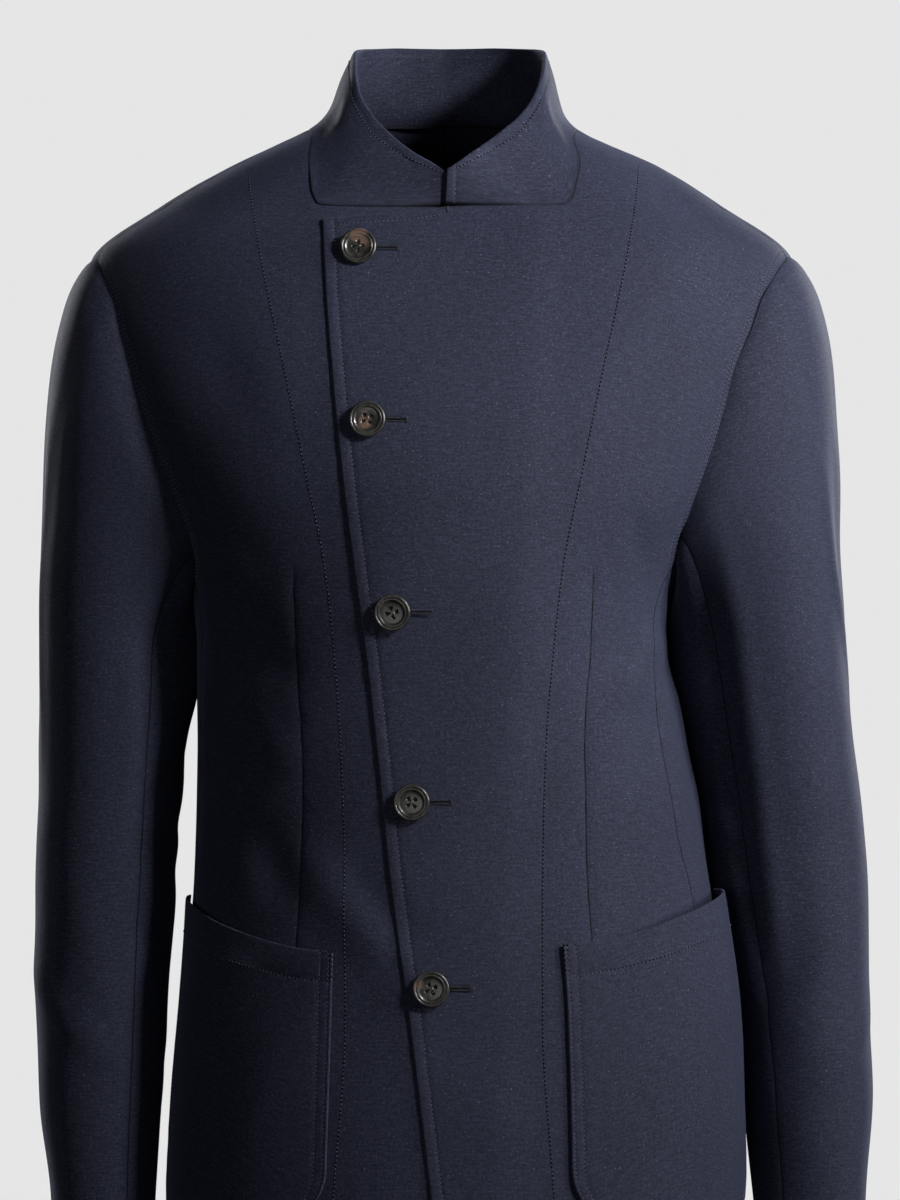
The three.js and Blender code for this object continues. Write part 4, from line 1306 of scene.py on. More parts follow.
@dataclass(frozen=True)
class FloorFinish:
    """Pale seamless paper that fades out at a distance."""

    name: str = "pale_paper"
    colour: Colour = (0.78, 0.78, 0.78, 1)
    glow: float = 0.96
    solid_m: float = 1.2
    gone_m: float = 3.6

    def make(self) -> Material:
        """Builds the material: alpha falls from 1 to 0 with the distance from the middle.

        Returns:
            The material.
        """
        r = Recipe(self.name)
        place = r.place()
        x, y = r.axis(place, 0), r.axis(place, 1)
        away = (x * x + y * y) ** 0.5
        return r.finish(
            Base_Color=self.colour,
            Roughness=r.noise(place, 160, 2.0) * 0.1 + 0.8,
            Alpha=1.0 - away.between(self.solid_m, self.gone_m),
            Emission_Color=self.colour,
            Emission_Strength=self.glow,
        )


BUTTONHOLE_THREAD = ThreadFinish("dark_thread", (0.004, 0.0045, 0.008, 1), (0.018, 0.02, 0.034, 1), 0.6)


@dataclass
class Finishes:
    """The materials, made once."""

    cloth: Material = field(default_factory=ClothFinish().make)
    thread: Material = field(default_factory=ThreadFinish().make)
    # hole: the needle holes' painted shade
    hole: Material = field(default_factory=HoleShadeFinish().make)
    dark_thread: Material = field(default_factory=BUTTONHOLE_THREAD.make)
    horn: Material = field(default_factory=HornFinish().make)
    floor: Material = field(default_factory=FloorFinish().make)


@dataclass(frozen=True)
class Cut:
    """The flat size that a piece was cut to: width and length in metres, and area in square metres."""

    width: float
    length: float
    area: float


CUTS = {
    "front_right": Cut(0.36, 0.81, 0.18), "front_left": Cut(0.36, 0.81, 0.178),
    "side_right": Cut(0.12, 0.475, 0.0404), "side_left": Cut(0.15, 0.485, 0.0575),
    "back": Cut(0.26, 0.81, 0.154), "upper_sleeve": Cut(0.26, 0.66, 0.128),
    "under_sleeve": Cut(0.16, 0.53, 0.0577), "collar": Cut(0.61, 0.072, 0.0265),
    "pocket": Cut(0.168, 0.212, 0.0324),
}


def make_up(node: str, cut: Cut, patches: Sequence[Patch], rows: Sequence[Line], finishes: Finishes,
            wall: Wall = Wall(), bars: Sequence[Shape] = ()) -> Piece:
    """Makes one piece of cloth and its stitches, in its node's place.

    Args:
        node: the solid that it stands for.
        cut: its flat size; not used.
        patches: the grids of its face.
        rows: the lines of its topstitched rows.
        finishes: the materials.
        wall: the kind of its cloth.
        bars: close stitches that are laid already.

    Returns:
        The cloth.
    """
    piece = wall.build(f"{node}_cloth", patches)
    sewn = Topstitch().sew(f"{node}_stitches", rows, finishes, bars)
    piece.data.materials.append(finishes.cloth)
    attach(piece, BODY_NAME)
    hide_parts(node)
    log.info("%s: %d faces", piece.name, len(piece.data.polygons))
    return piece


def frame_on(x: float, z: float) -> tuple[Array, Array, Array, Array]:
    """A frame on the left front: its origin, the way along the ring, the way up and the way out.

    Args:
        x: distance from the centre.
        z: height.

    Returns:
        The origin and three unit vectors.
    """
    turn, height = FORM.turn_of(x, z), np.array(z, float)
    point, normal = FORM.cloth(turn, height, FORM.over(turn, height))
    along = unit(FORM.base(turn + 0.5, height) - FORM.base(turn - 0.5, height))
    return point, along, unit(np.cross(normal, along)), normal
# Stations of the neck seam: its corner at the lap, the shoulder and the stretch under the collar's end
NECK_CORNER, NECK_SHOULDER, NECK_UNDER_END, NECK_UNDER_START = 0.775, 0.56, 0.93, 0.8
# Numbers of places along long borders, the back's centre, side seams, neck runs and short runs
LONG_RUN, CENTRE_RUN, SEAM_RUN, NECK_RUN, SHORT_RUN = 240, 261, 160, 60, 40
# Numbers of places along the armhole's front, back and lowest stretches, and along the facing
ARMHOLE_RUN, BACK_ARMHOLE_RUN, UNDERARM_RUN, FACING_RUN = 111, 131, 61, 300
# Heights, or turns, over which one finish of a border gives way to another
ABOVE_ARMHOLE = (ARMHOLE_END_Z - 6, ARMHOLE_END_Z)
ABOVE_DART = (DART_TOP - 14, DART_TOP)
PAST_CENTRE = (-1.0, 0.5)
NECK_SEWN = Edge(sink=0.4, pucker=0.1, rounding=0.35, reach=1.6)
Blocks = tuple[Layout, Layout, Patch, Patch]


@dataclass
class Half:
    """One side of the body: its front, side panel and back."""

    side: Side
    finishes: Finishes
    neck_rows: float = 4.0
    arm_rows: float = 7.0
    seam_rows: float = 13.0
    tack_x: float = 1.0
    tack_length: float = 1.8
    tack_pitch: float = 0.6
    facing_top: float = -22.0
    facing_rise: float = 0.05
    dart_fade: float = 30.0
    under_top: float = -51.1
    under_slope: float = 0.12
    block_length: float = 600.0
    head_rows: int = 18
    past_hem: float = 1.5
    front_edge: Edge = Edge(rows=(7.5,), puff=0.22, pucker=0.12)
    armhole_edge: Edge = Edge(
        rows=(0.9, 4.1, 7.4), sink=0.04, pucker=0.1, groove=0.26, rounding=0.12,
        zone=lambda a, b: ease(b, *ABOVE_ARMHOLE),
    )
    # The line of seam_edge, dart_edge, neck_edge and neck_side_edge is the width of painted shade along the
    # seam
    seam_edge: Edge = Edge(
        sink=0.5, pucker=0.16, rounding=0.28, line=0.6, zone=lambda a, b: 1 - ease(b, *ABOVE_ARMHOLE),
    )
    hem_edge: Edge = Edge(rows=(20.0,), puff=0.15, pucker=0.12)
    dart_edge: Edge = Edge(sink=0.75, pucker=0.2, line=0.6, zone=lambda a, b: 1 - ease(b, *ABOVE_DART))
    lap_edge: Edge = Edge(rows=(5.8,), puff=0.22, pucker=0.12, zone=lambda a, b: 1 - ease(a, *PAST_CENTRE))
    neck_edge: Edge = replace(NECK_SEWN, line=0.9, zone=lambda a, b: ease(a, *PAST_CENTRE))
    neck_side_edge: Edge = replace(
        NECK_SEWN, line=0.8, zone=lambda a, b: ease(b, NECK_CORNER_Z - 3, NECK_CORNER_Z),
    )

    def __post_init__(self) -> None:
        """Reads this side's columns."""
        word = self.side.word
        self.hole_turn, self.hole_z = ARMHOLE.curves((f"{word}_turn", f"{word}_z"))
        self.front_seam, self.back_seam = FRONT_SEAM.curve(word), BACK_SEAM.curve(word)
        self.neck_turn, self.neck_z = NECK_SEAM.curves(("turn", "z"))
        self.leading, self.hidden, self.dart, self.facing = FRONT_LINES.curves(FRONT_LINES.names[1:])
        self.sign = self.side.value
        self.all_rows = self.neck_rows + self.arm_rows + self.seam_rows

    def moved(self, turn: Number, z: Array, across: Number) -> Array:
        """Places on this side at turns and heights, moved across by a distance round the body."""
        return places(self.sign * FORM.shifted(turn + 0 * z, z, across), z)

    def armhole(self, swing: Array, across: Number) -> Array:
        """Armhole places at swings, moved across the seam."""
        return self.moved(self.hole_turn(swing), self.hole_z(swing), across)

    def seam_line(self, seam: Curve, top: float, across: float) -> Array:
        """A vertical seam from a height down to the hem, moved across it."""
        z = np.linspace(top, HEM_Z, SEAM_RUN)
        return self.moved(seam(z), z, across)

    def neck(self, at: Array) -> Array:
        """Neck seam places, half a seam below it."""
        return places(self.sign * self.neck_turn(at), self.neck_z(at) - SEAM / 2)

    def neck_side(self, at: Array) -> Array:
        """Side of the neck opening, half a seam outwards from the collar."""
        return self.moved(self.neck_turn(at), self.neck_z(at) - SEAM / 2, SEAM / 2)

    def shoulder(self, across: float) -> Array:
        """Shoulder seam from the neck to the shoulder point, on one of its sides."""
        z = np.linspace(SHOULDER_TOP, SHOULDER_LOW, SHORT_RUN) - SEAM / 2
        return self.moved(SHOULDER_TURN, z, across)

    def panel(self, upper: Border, inner: Border, outer: Border, **rest: object) -> Layout:
        """Lays a panel between its top, its side borders and the hem from one's foot to the other's.

        Args:
            upper: the upper border, from the inner side to the outer side.
            inner: the border at s = 0, downwards.
            outer: the border at s = 1, downwards.
            rest: how the borders are finished, and the lift.

        Returns:
            The layout.
        """
        hem = Border.even(np.stack([inner.places[-1], outer.places[-1]]))
        return Layout(
            FORM, lambda s, t: between(upper, hem, inner, outer, s, t), bottom=(self.hem_edge,), **rest
        )

    def dart_line(self, top: Array) -> Border:
        """The line from the collar's corner down the dart to the hem, in even steps of height.

        Args:
            top: turn and height of its upper end.

        Returns:
            The border.
        """
        z = np.linspace(top[1], HEM_Z, LONG_RUN)
        away = ease(top[1] - z, 0, self.dart_fade)
        x = self.sign * mix(self.dart(z), abs(float(FORM.base(*top)[0])), 1 - away)
        return Border.even(places(FORM.turn_of(x, z), z))

    def lap_top(self, edge: Curve, top_z: Curve, corner: Array) -> Border:
        """Top of a front's inner block: along the lap to the centre, then along the neck seam.

        Args:
            edge: distance of the free edge from the centre, at a height.
            top_z: height of the lap's top, at a distance from the centre.
            corner: turn and height of the collar's corner.

        Returns:
            The border, from the free edge to the corner.
        """
        first = float(edge(top_z(edge(SHOULDER_LOW))))
        x = np.linspace(first, 0, SHORT_RUN)
        lap = places(FORM.turn_of(x, top_z(x)), top_z(x))
        under = self.neck(np.linspace(NECK_UNDER_END, NECK_UNDER_START, SHORT_RUN // 2))
        along_neck = np.vstack([lap[-1:], under, corner[None]])
        length = lengths(FORM.base(along_neck[:, 0], along_neck[:, 1]))
        run = Border(length / length[-1], along_neck)
        return Border.through((abs(first), lap), (float(length[-1]), run(np.linspace(0, 1, 2 * SHORT_RUN))))

    def front(self, edge: Curve, top_z: Curve, lift: Lift, free: Edge, top: Edges) -> Blocks:
        """Lays the front's two blocks, which share the dart line.

        Args:
            edge: distance of the free edge from the centre, at a height.
            top_z: height of the lap's top, at a distance from the centre.
            lift: height over the body's form, at turns and heights.
            free: how the free edge is finished.
            top: how the lap's top is finished.

        Returns:
            The two layouts and their two patches, inner first.
        """
        corner = self.neck_side(np.array(NECK_CORNER))
        shared = self.dart_line(corner)
        lap = self.lap_top(edge, top_z, corner)
        z = np.linspace(lap.places[0, 1], HEM_Z, LONG_RUN)
        leading = Border.even(places(FORM.turn_of(edge(z), z), z))
        inner = self.panel(lap, leading, shared, top=top, start=(free,), end=(self.dart_edge,), lift=lift)
        t = inner.shares_down()
        neck = self.neck_side(np.linspace(NECK_SHOULDER, NECK_CORNER, NECK_RUN))
        share = self.neck_rows / self.all_rows
        inside = Border.through((share, neck), (1 - share, shared.places))
        outside = Border.through(
            (self.neck_rows + self.arm_rows, self.armhole(self.swing_rows(), -SEAM / 2)),
            (self.seam_rows, self.seam_line(self.front_seam, float(self.hole_z(FRONT_SWING)), -SEAM / 2)),
        )
        outer = self.panel(
            Border.even(self.shoulder(-SEAM / 2)), inside, outside, top=(SEWN,), lift=lift,
            start=(self.dart_edge, self.neck_side_edge), end=(self.armhole_edge, self.seam_edge),
        )
        marks = np.array(SEWN.marks()) / self.block_length
        head = np.concatenate([marks[:-1], np.linspace(marks[-1], share, self.head_rows, endpoint=False)])
        near, far = inner.patch(t), outer.patch(np.concatenate([head, mix(share, 1.0, t)]))
        far.points[len(head):, 0], far.normals[len(head):, 0] = near.points[:, -1], near.normals[:, -1]
        return inner, outer, near, far

    def swing_rows(self) -> Array:
        """Swings down the front of the armhole, nine even rows to the forearm seam and two beyond it."""
        return paced(ARMHOLE_RUN, (0, 9, 11), (SHOULDER_SWING, FOREARM, FRONT_SWING))

    def hem_row(self, layout: Layout, patch: Patch) -> Line:
        """The hem's row of stitches."""
        return patch.line(layout.row(patch, self.hem_edge.rows[0], from_bottom=True), slice(2, -2))

    def armhole_lines(self, layout: Layout, patch: Patch, share: float) -> list[Line]:
        """The armhole's rows of stitches, down to a share of the panel's end.

        Args:
            layout: the panel.
            patch: its grid.
            share: share down at which the rows end.

        Returns:
            The lines.
        """
        down = slice(1, int(np.searchsorted(patch.rows_down, share)))
        columns = (layout.column(patch, row, from_end=True) for row in self.armhole_edge.rows)
        return [patch.line(down, column) for column in columns]

    def facing_line(self, lift: Lift) -> Line:
        """The row of stitches that holds the facing, from the shoulder down to the hem.

        Args:
            lift: the front's height over the body's form.

        Returns:
            The line.
        """
        z = np.linspace(self.facing_top, HEM_Z + self.past_hem, FACING_RUN)
        turn = FORM.turn_of(self.sign * self.facing(z), z)
        return FORM.cloth(turn, z, lift(turn, z, 0, 0) + self.facing_rise)

    def side_panel(self) -> Piece:
        """Makes the panel between the two side seams, under the armhole.

        Returns:
            The panel.
        """
        swing = np.linspace(FRONT_SWING, BACK_SWING, UNDERARM_RUN)
        rim = self.armhole(swing, paced(UNDERARM_RUN, (0, 10, 50, 60), (SEAM / 2, 0, 0, -SEAM / 2)))
        inner = Border.even(self.seam_line(self.front_seam, rim[0, 1], SEAM / 2))
        outer = Border.even(self.seam_line(self.back_seam, rim[-1, 1], -SEAM / 2))
        layout = self.panel(Border.even(rim), inner, outer, top=(SEWN,), start=(SEWN,), end=(SEWN,))
        patch = layout.patch()
        node = f"side_{self.side.word}"
        return make_up(node, CUTS[node], [patch], [self.hem_row(layout, patch)], self.finishes)

    def back_panel(self) -> Piece:
        """Makes the back from the centre seam to the armhole and the side seam.

        Returns:
            The panel.
        """
        neck = self.neck(np.linspace(0, NECK_SHOULDER, NECK_RUN))
        shoulder = self.shoulder(SEAM / 2)
        swing = paced(BACK_ARMHOLE_RUN, (0, 9, 13), (360 + SHOULDER_SWING, HINDARM, BACK_SWING))
        seam_top = float(self.hole_z(BACK_SWING))
        seam = self.seam_line(self.back_seam, seam_top, SEAM / 2)
        outer = Border.through((1, self.armhole(swing, SEAM / 2)), (1, seam))
        z = paced(CENTRE_RUN, (0, 1, 2), (neck[0, 1], seam_top, HEM_Z))
        centre = self.moved(180.0, z, -SEAM / 2)
        neck[0], shoulder[-1] = centre[0], outer.places[0]
        layout = self.panel(
            Border.through((1, neck), (1, shoulder)), Border.even(centre), outer,
            top=(SEWN,), start=(SEWN,), end=(self.armhole_edge, self.seam_edge),
        )
        patch = layout.patch()
        rows = [*self.armhole_lines(layout, patch, 0.5), self.hem_row(layout, patch)]
        return make_up(f"back_{self.side.word}", CUTS["back"], [patch], rows, self.finishes)

    def lap_stitches(self, layout: Layout, patch: Patch) -> tuple[list[Line], Shape]:
        """The rows down the leading edge and over the lap, and the bar tack where the lap's row ends.

        Args:
            layout: the inner block.
            patch: its grid.

        Returns:
            The two rows, and the tack's close stitches.
        """
        column, row = layout.column(patch, self.front_edge.rows[0]), layout.row(patch, self.lap_edge.rows[0])
        centre = int(np.argmin(np.abs(patch.points[row, :, 0] - self.tack_x)))
        rows = [patch.line(slice(row, -1), column), patch.line(row, slice(column, centre))]
        end = patch.line(slice(1, row + 1), centre)
        return rows, Topstitch().bars(end, self.tack_length, self.tack_pitch)

    def build_front(self) -> Piece:
        """Makes this side's front with its stitches; the left one laps over the right.

        Returns:
            The front.
        """
        left = self.side is Side.LEFT
        if left:
            lift, top, top_z = FORM.over, (self.lap_edge, self.neck_edge), OVERLAP_TOP.curve("z")
            inner, outer, near, far = self.front(self.leading, top_z, lift, self.front_edge, top)
        else:
            lift, top_z = level, lambda x: self.under_top - self.under_slope * np.maximum(0, x)
            inner, outer, near, far = self.front(self.hidden, top_z, lift, PLAIN, (SEWN,))
        rows = self.armhole_lines(outer, far, (self.neck_rows + self.arm_rows) / self.all_rows)
        rows += [self.hem_row(inner, near), self.hem_row(outer, far), self.facing_line(lift)]
        bars = []
        if left:
            lap_rows, tack = self.lap_stitches(inner, near)
            rows, bars = rows + lap_rows, [tack]
        node = f"front_{self.side.word}"
        return make_up(node, CUTS[node], [near, far], rows, self.finishes, bars=bars)


# Sleeve creases that run round the elbow: middle swing, half-span, height, climb, width, depth
SLEEVE_CREASES = {
    Side.RIGHT: [
        (176, 62, -446, 16, 12, -1.8), (190, 58, -476, -10, 12, -1.4), (60, 50, -566, -26, 14, 2),
        (158, 30, -412, 12, 6, -1.2), (146, 32, -520, -14, 9, -1.2), (250, 50, -452, -12, 10, -1.8),
        (236, 44, -500, 14, 11, -1.5), (176, 40, -600, 10, 10, -0.6),
    ],
    Side.LEFT: [
        (172, 60, -452, 18, 12, -1.8), (196, 56, -486, -14, 12, -1.4), (62, 52, -600, -34, 14, 2.4),
        (158, 38, -420, 12, 7, -1.2), (118, 44, -556, -30, 12, -1.8), (248, 50, -456, -14, 10, -1.9),
        (232, 46, -508, 12, 11, -1.6), (170, 40, -612, 12, 10, -0.6),
    ],
}
# Long soft folds of the sleeves, at degrees from the outer side (positive to the front) and height: those
# of both sleeves, then each sleeve's own
BOTH_SLEEVE_FOLDS = [
    Fold(180, -280, 180, -378, 44, 5), Fold(-180, -280, -180, -378, 44, 5),
    Fold(-60, -240, -96, -330, 13, -1.4),
]
SLEEVE_FOLDS = {
    Side.RIGHT: BOTH_SLEEVE_FOLDS + [
        Fold(21, -190, 24, -395, 5, 1.1), Fold(9, -180, 11, -400, 6, -0.9),
        Fold(88, -235, 112, -330, 12, -1.4), Fold(64, -470, 100, -560, 15, 1.0),
        Fold(-40, -470, -78, -560, 14, 1.1), Fold(106, -230, 108, -430, 9, 1.2),
        Fold(123, -225, 124, -440, 12, -1.8), Fold(2, -205, -2, -335, 34, -2.2),
    ],
    Side.LEFT: BOTH_SLEEVE_FOLDS + [
        Fold(31, -205, 26, -300, 5.5, 1.5), Fold(26, -285, 6, -362, 5.5, 1.4),
        Fold(17, -200, 14, -310, 6, -1.1), Fold(103, -232, 106, -540, 9, 1.9),
        Fold(122, -222, 124, -550, 12, -3.4), Fold(6, -320, -4, -400, 26, -1.2),
        Fold(2, -88, -4, -252, 42, 3.8), Fold(58, -505, 96, -590, 14, 1.3),
        Fold(80, -480, 118, -560, 13, -1.3), Fold(-44, -480, -80, -566, 14, 1.1),
    ],
}
# Fine waves of the sleeves: height, and the length and the turns round of each
SLEEVE_WAVES = ((0.3, 27, 1.7), (0.2, 13, -3))


@dataclass
class SleeveForm(Form):
    """One sleeve: a Hermite cap from the armhole to the first section, then sections to the cuff."""

    half: Half
    squareness: float = 2.1
    fullness: float = 1.9
    full_by: float = 0.22
    waves_over: tuple[float, float] = (0.05, 0.4)
    gathers: tuple[float, float, float] = (3.1, 7.3, 0.6)
    gather_height: float = 0.2
    gather_fade: float = 0.12
    roll: float = 0.4
    roll_at: float = 0.05
    roll_width: float = 0.035
    head_span: float = 95.0
    past_cuff: float = 1.05
    probe: tuple[float, float] = (1.0, 0.02)

    def __post_init__(self) -> None:
        """Reads this side's columns."""
        side = self.half.side
        self.sign = side.value
        self.x, self.wide, self.y = SLEEVE.curves(f"{side.word}_{key}" for key in ("x", "half", "y"))
        self.deep = SLEEVE.curve("deep")
        self.cap = dict(zip(CAP.names[1:], CAP.curves(CAP.names[1:])))
        self.creases, self.folds = SLEEVE_CREASES[side], SLEEVE_FOLDS[side]

    def section(self, swing: Array, z: Array) -> Array:
        """A superellipse round the sleeve's middle, whose half-sizes change by the creases there.

        Args:
            swing: angles round the sleeve.
            z: heights.

        Returns:
            The points.
        """
        s, c = squared(swing, self.squareness)
        crease = np.zeros(np.broadcast(swing, z).shape)
        for middle, span, height_z, climb, width, height in self.creases:
            away = (swing - middle + 180) % 360 - 180
            across = z - height_z - climb * away / span
            crease = crease + height * bell(across, width) * bell(away, span, 4)
        x = self.sign * (self.x(z) + (self.wide(z) + crease) * c)
        return places(x, self.y(z) - (self.deep(z) + crease) * s, z)

    def base(self, a: Array, b: Array) -> Array:
        """Points at a swing and a share down: 0 to 1 is the cap's Hermite curve, 1 to 2 the arm.

        Args:
            a: swings.
            b: shares down.

        Returns:
            The points.
        """
        swing = (a - SHOULDER_SWING) % 360 + SHOULDER_SWING
        arm = self.section(swing, mix(CAP_END_Z, CUFF_Z, np.clip(b - 1, 0, self.past_cuff)))
        at = {key: curve(swing % 360) for key, curve in self.cap.items()}
        leave = unit(places(self.sign * at["out"], -at["forward"], -at["down"]))
        hole = self.half.armhole(swing, 0.0)
        start = FORM.cloth(hole[..., 0], hole[..., 1])[0] - leave * ARMHOLE_LAP
        end, lower = (self.section(swing, np.full(np.shape(swing), z)) for z in (CAP_END_Z, CAP_END_Z - 2))
        leave, arrive = leave * at["start"][..., None], unit(lower - end) * at["end"][..., None]
        cap = hermite(start, end, leave, arrive, np.clip(b, 0, 1)[..., None])
        return np.where(np.asarray(b)[..., None] >= 1, arm, cap)

    def normal(self, a: Array, b: Array) -> Array:
        """Outward directions, taken a little inside the sleeve's ends."""
        inside = np.clip(b, 1.5 * self.probe[1], 2 - self.probe[1])
        return self.sign * super().normal(a, inside)

    def relief(self, a: Array, b: Array) -> Array:
        """Folds, a roll and gathers at the head that fade below it, fullness and slow waves.

        Args:
            a: swings.
            b: shares down.

        Returns:
            The heights.
        """
        swing = (a + 180) % 360 - 180
        z = self.base(a, b)[..., 2]
        head = np.clip(b, 0, 1)
        first, second, start = self.gathers
        gathers = self.gather_height * np.sin(swing / first) * np.sin(swing / second + start)
        gathers = gathers * np.exp(-head / self.gather_fade)
        roll = self.roll * bell(head - self.roll_at, self.roll_width)
        top = (roll + gathers) * bell(swing, self.head_span, 4)
        turn = np.radians(swing)
        waves = sum(high * np.sin(z / long + turn * around) for high, long, around in SLEEVE_WAVES)
        fullness = self.fullness * ease(head, 0.0, self.full_by)
        return piled(self.folds, swing, z) + top + fullness + waves * ease(head, *self.waves_over)


@dataclass
class Sleeve:
    """A two-piece sleeve."""

    half: Half
    cuff_edge: Edge = Edge(rows=(20.0,), puff=0.12, pucker=0.1)

    def build(self) -> None:
        """Makes the upper sleeve and the under sleeve."""
        form = SleeveForm(self.half)
        clear = math.degrees(SEAM / 2 / float(form.wide(CAP_END_Z)))
        spans = {
            "upper_sleeve": (HINDARM - 360 + clear, FOREARM - clear),
            "under_sleeve": (FOREARM + clear, HINDARM - clear),
        }
        for kind, (first, last) in spans.items():
            layout = Layout(
                form, lambda s, t, first=first, last=last: (mix(first, last, s), 2 * t),
                top=(FLAT_SEWN,), bottom=(self.cuff_edge,), start=(SEWN,), end=(SEWN,),
            )
            patch = layout.patch()
            row = patch.line(layout.row(patch, self.cuff_edge.rows[0], from_bottom=True), slice(2, -2))
            make_up(f"{kind}_{self.half.side.word}", CUTS[kind], [patch], [row], self.half.finishes)


# Dents and swellings of the collar: station, rise, their half-sizes and the height
COLLAR_DENTS = (
    (0.62, 0.52, 0.05, 0.2, -1.6), (0.7, 0.3, 0.05, 0.16, 1.3), (0.53, 0.35, 0.05, 0.2, 1.0),
    (0.8, 0.62, 0.05, 0.2, -0.7), (-0.62, 0.5, 0.06, 0.2, -1.4), (-0.7, 0.28, 0.05, 0.16, 1.0),
    (0.3, 0.4, 0.09, 0.25, -0.8), (-0.24, 0.5, 0.1, 0.25, -0.9), (0.02, 0.3, 0.09, 0.2, 0.7),
)


@dataclass
class CollarForm(Form):
    """The collar: straight lines from the neck seam to the top edge, bowed towards the neck."""

    side_hollow: float = 14.0
    front_hollow: float = 3.0
    hollow_from: float = 0.6
    hollow_to: float = 0.85
    foot: float = 0.06
    fade: float = 2.4
    height: float = 50.0
    tail_in: float = 0.65
    tail_down: float = 0.75
    lap_from: float = 0.84
    lap_to: float = 0.93
    lap_lift: float = 3.0
    probe: tuple[float, float] = (0.01, 0.02)

    def __post_init__(self) -> None:
        """Reads the tables' columns."""
        self.turn, self.z = NECK_SEAM.curves(("turn", "z"))
        self.right, self.left, self.top_y, self.top_z = COLLAR_TOP.curves(COLLAR_TOP.names[1:])

    def base(self, a: Array, b: Array) -> Array:
        """Points at a station, from -1 at the wearer's right front round the nape to 1 at the left, and a
        rise from the seam to the top edge.

        Args:
            a: stations.
            b: rises.

        Returns:
            The points.
        """
        at, sign = np.abs(a), np.where(np.asarray(a) < 0, -1.0, 1.0)
        share = mix(-COLLAR_LAP / self.height, 1.0, b)
        rise, tail = np.maximum(0, share), np.maximum(0, -share) * self.height
        seam = FORM.base(sign * self.turn(at), self.z(at))
        reach = np.where(sign > 0, self.left(at), self.right(at))
        top = places(sign * reach, self.top_y(at), self.top_z(at))
        point = mix(seam, top, rise[..., None])
        share_front = ease(at, self.hollow_from, self.hollow_to)
        hollow = mix(self.side_hollow, self.front_hollow, share_front)
        bow = hollow * np.sin(np.pi * rise) * np.maximum(0, 1 - share) ** self.fade
        inward = unit(point * np.array([-1.0, -1.0, 0.0]))
        return point + inward * (bow + self.tail_in * tail)[..., None] - places(0, 0, self.tail_down * tail)

    def normal(self, a: Array, b: Array) -> Array:
        """Outward directions, away from the neck."""
        return -super().normal(a, np.maximum(b, self.foot))

    def relief(self, a: Array, b: Array) -> Array:
        """The lap's lift at the left end, and soft dents where the collar bends.

        Args:
            a: stations.
            b: rises.

        Returns:
            The heights.
        """
        height = self.lap_lift * ease(a, self.lap_from, self.lap_to)
        for station, rise, wide, tall, depth in COLLAR_DENTS:
            height = height + depth * bell(a - station, wide) * bell(b - rise, tall)
        return height


@dataclass
class Collar:
    """The stand collar, one strip whose left end lies over its right end."""

    finishes: Finishes
    under_end: float = -1.055
    over_end: float = 0.999
    step: float = 3.0
    edge: Edge = Edge(rows=(6.4,), puff=0.22, pucker=0.08)
    # The neck seam's painted shade: a near-black band 2.7 mm wide in the cloth's colour
    seam: Edge = Edge(sink=0.2, pucker=0.06, rounding=0.28, line=2.7)

    def build(self) -> None:
        """Makes the strip and the row of stitches round its ends and its top."""
        layout = Layout(
            CollarForm(), lambda s, t: (mix(self.under_end, self.over_end, s), 1 - t),
            top=(self.edge,), bottom=(self.seam,), start=(self.edge,), end=(self.edge,), step=self.step,
        )
        patch = layout.patch()
        distance = self.edge.rows[0]
        row = layout.row(patch, distance)
        first, last = (layout.column(patch, distance, end) for end in (False, True))
        spans = ((slice(row, -2), first), (row, slice(first, last + 1)), (slice(row, -2), last))
        lines = [patch.line(*span) for span in spans]
        make_up("collar", CUTS["collar"], [patch], lines, self.finishes, Wall(COLLAR_CLOTH))


@dataclass(frozen=True)
class PocketSizes:
    """Sizes of one patch pocket: inner edge, mouth heights at its two ends and how far the mouth gapes."""

    inner_x: float
    mouth_inner: float
    mouth_outer: float
    bulge: float


POCKET_SIZES = {
    Side.LEFT: PocketSizes(78, -515.5, -487, 11),
    Side.RIGHT: PocketSizes(-71, -519.5, -491, 3.4),
}


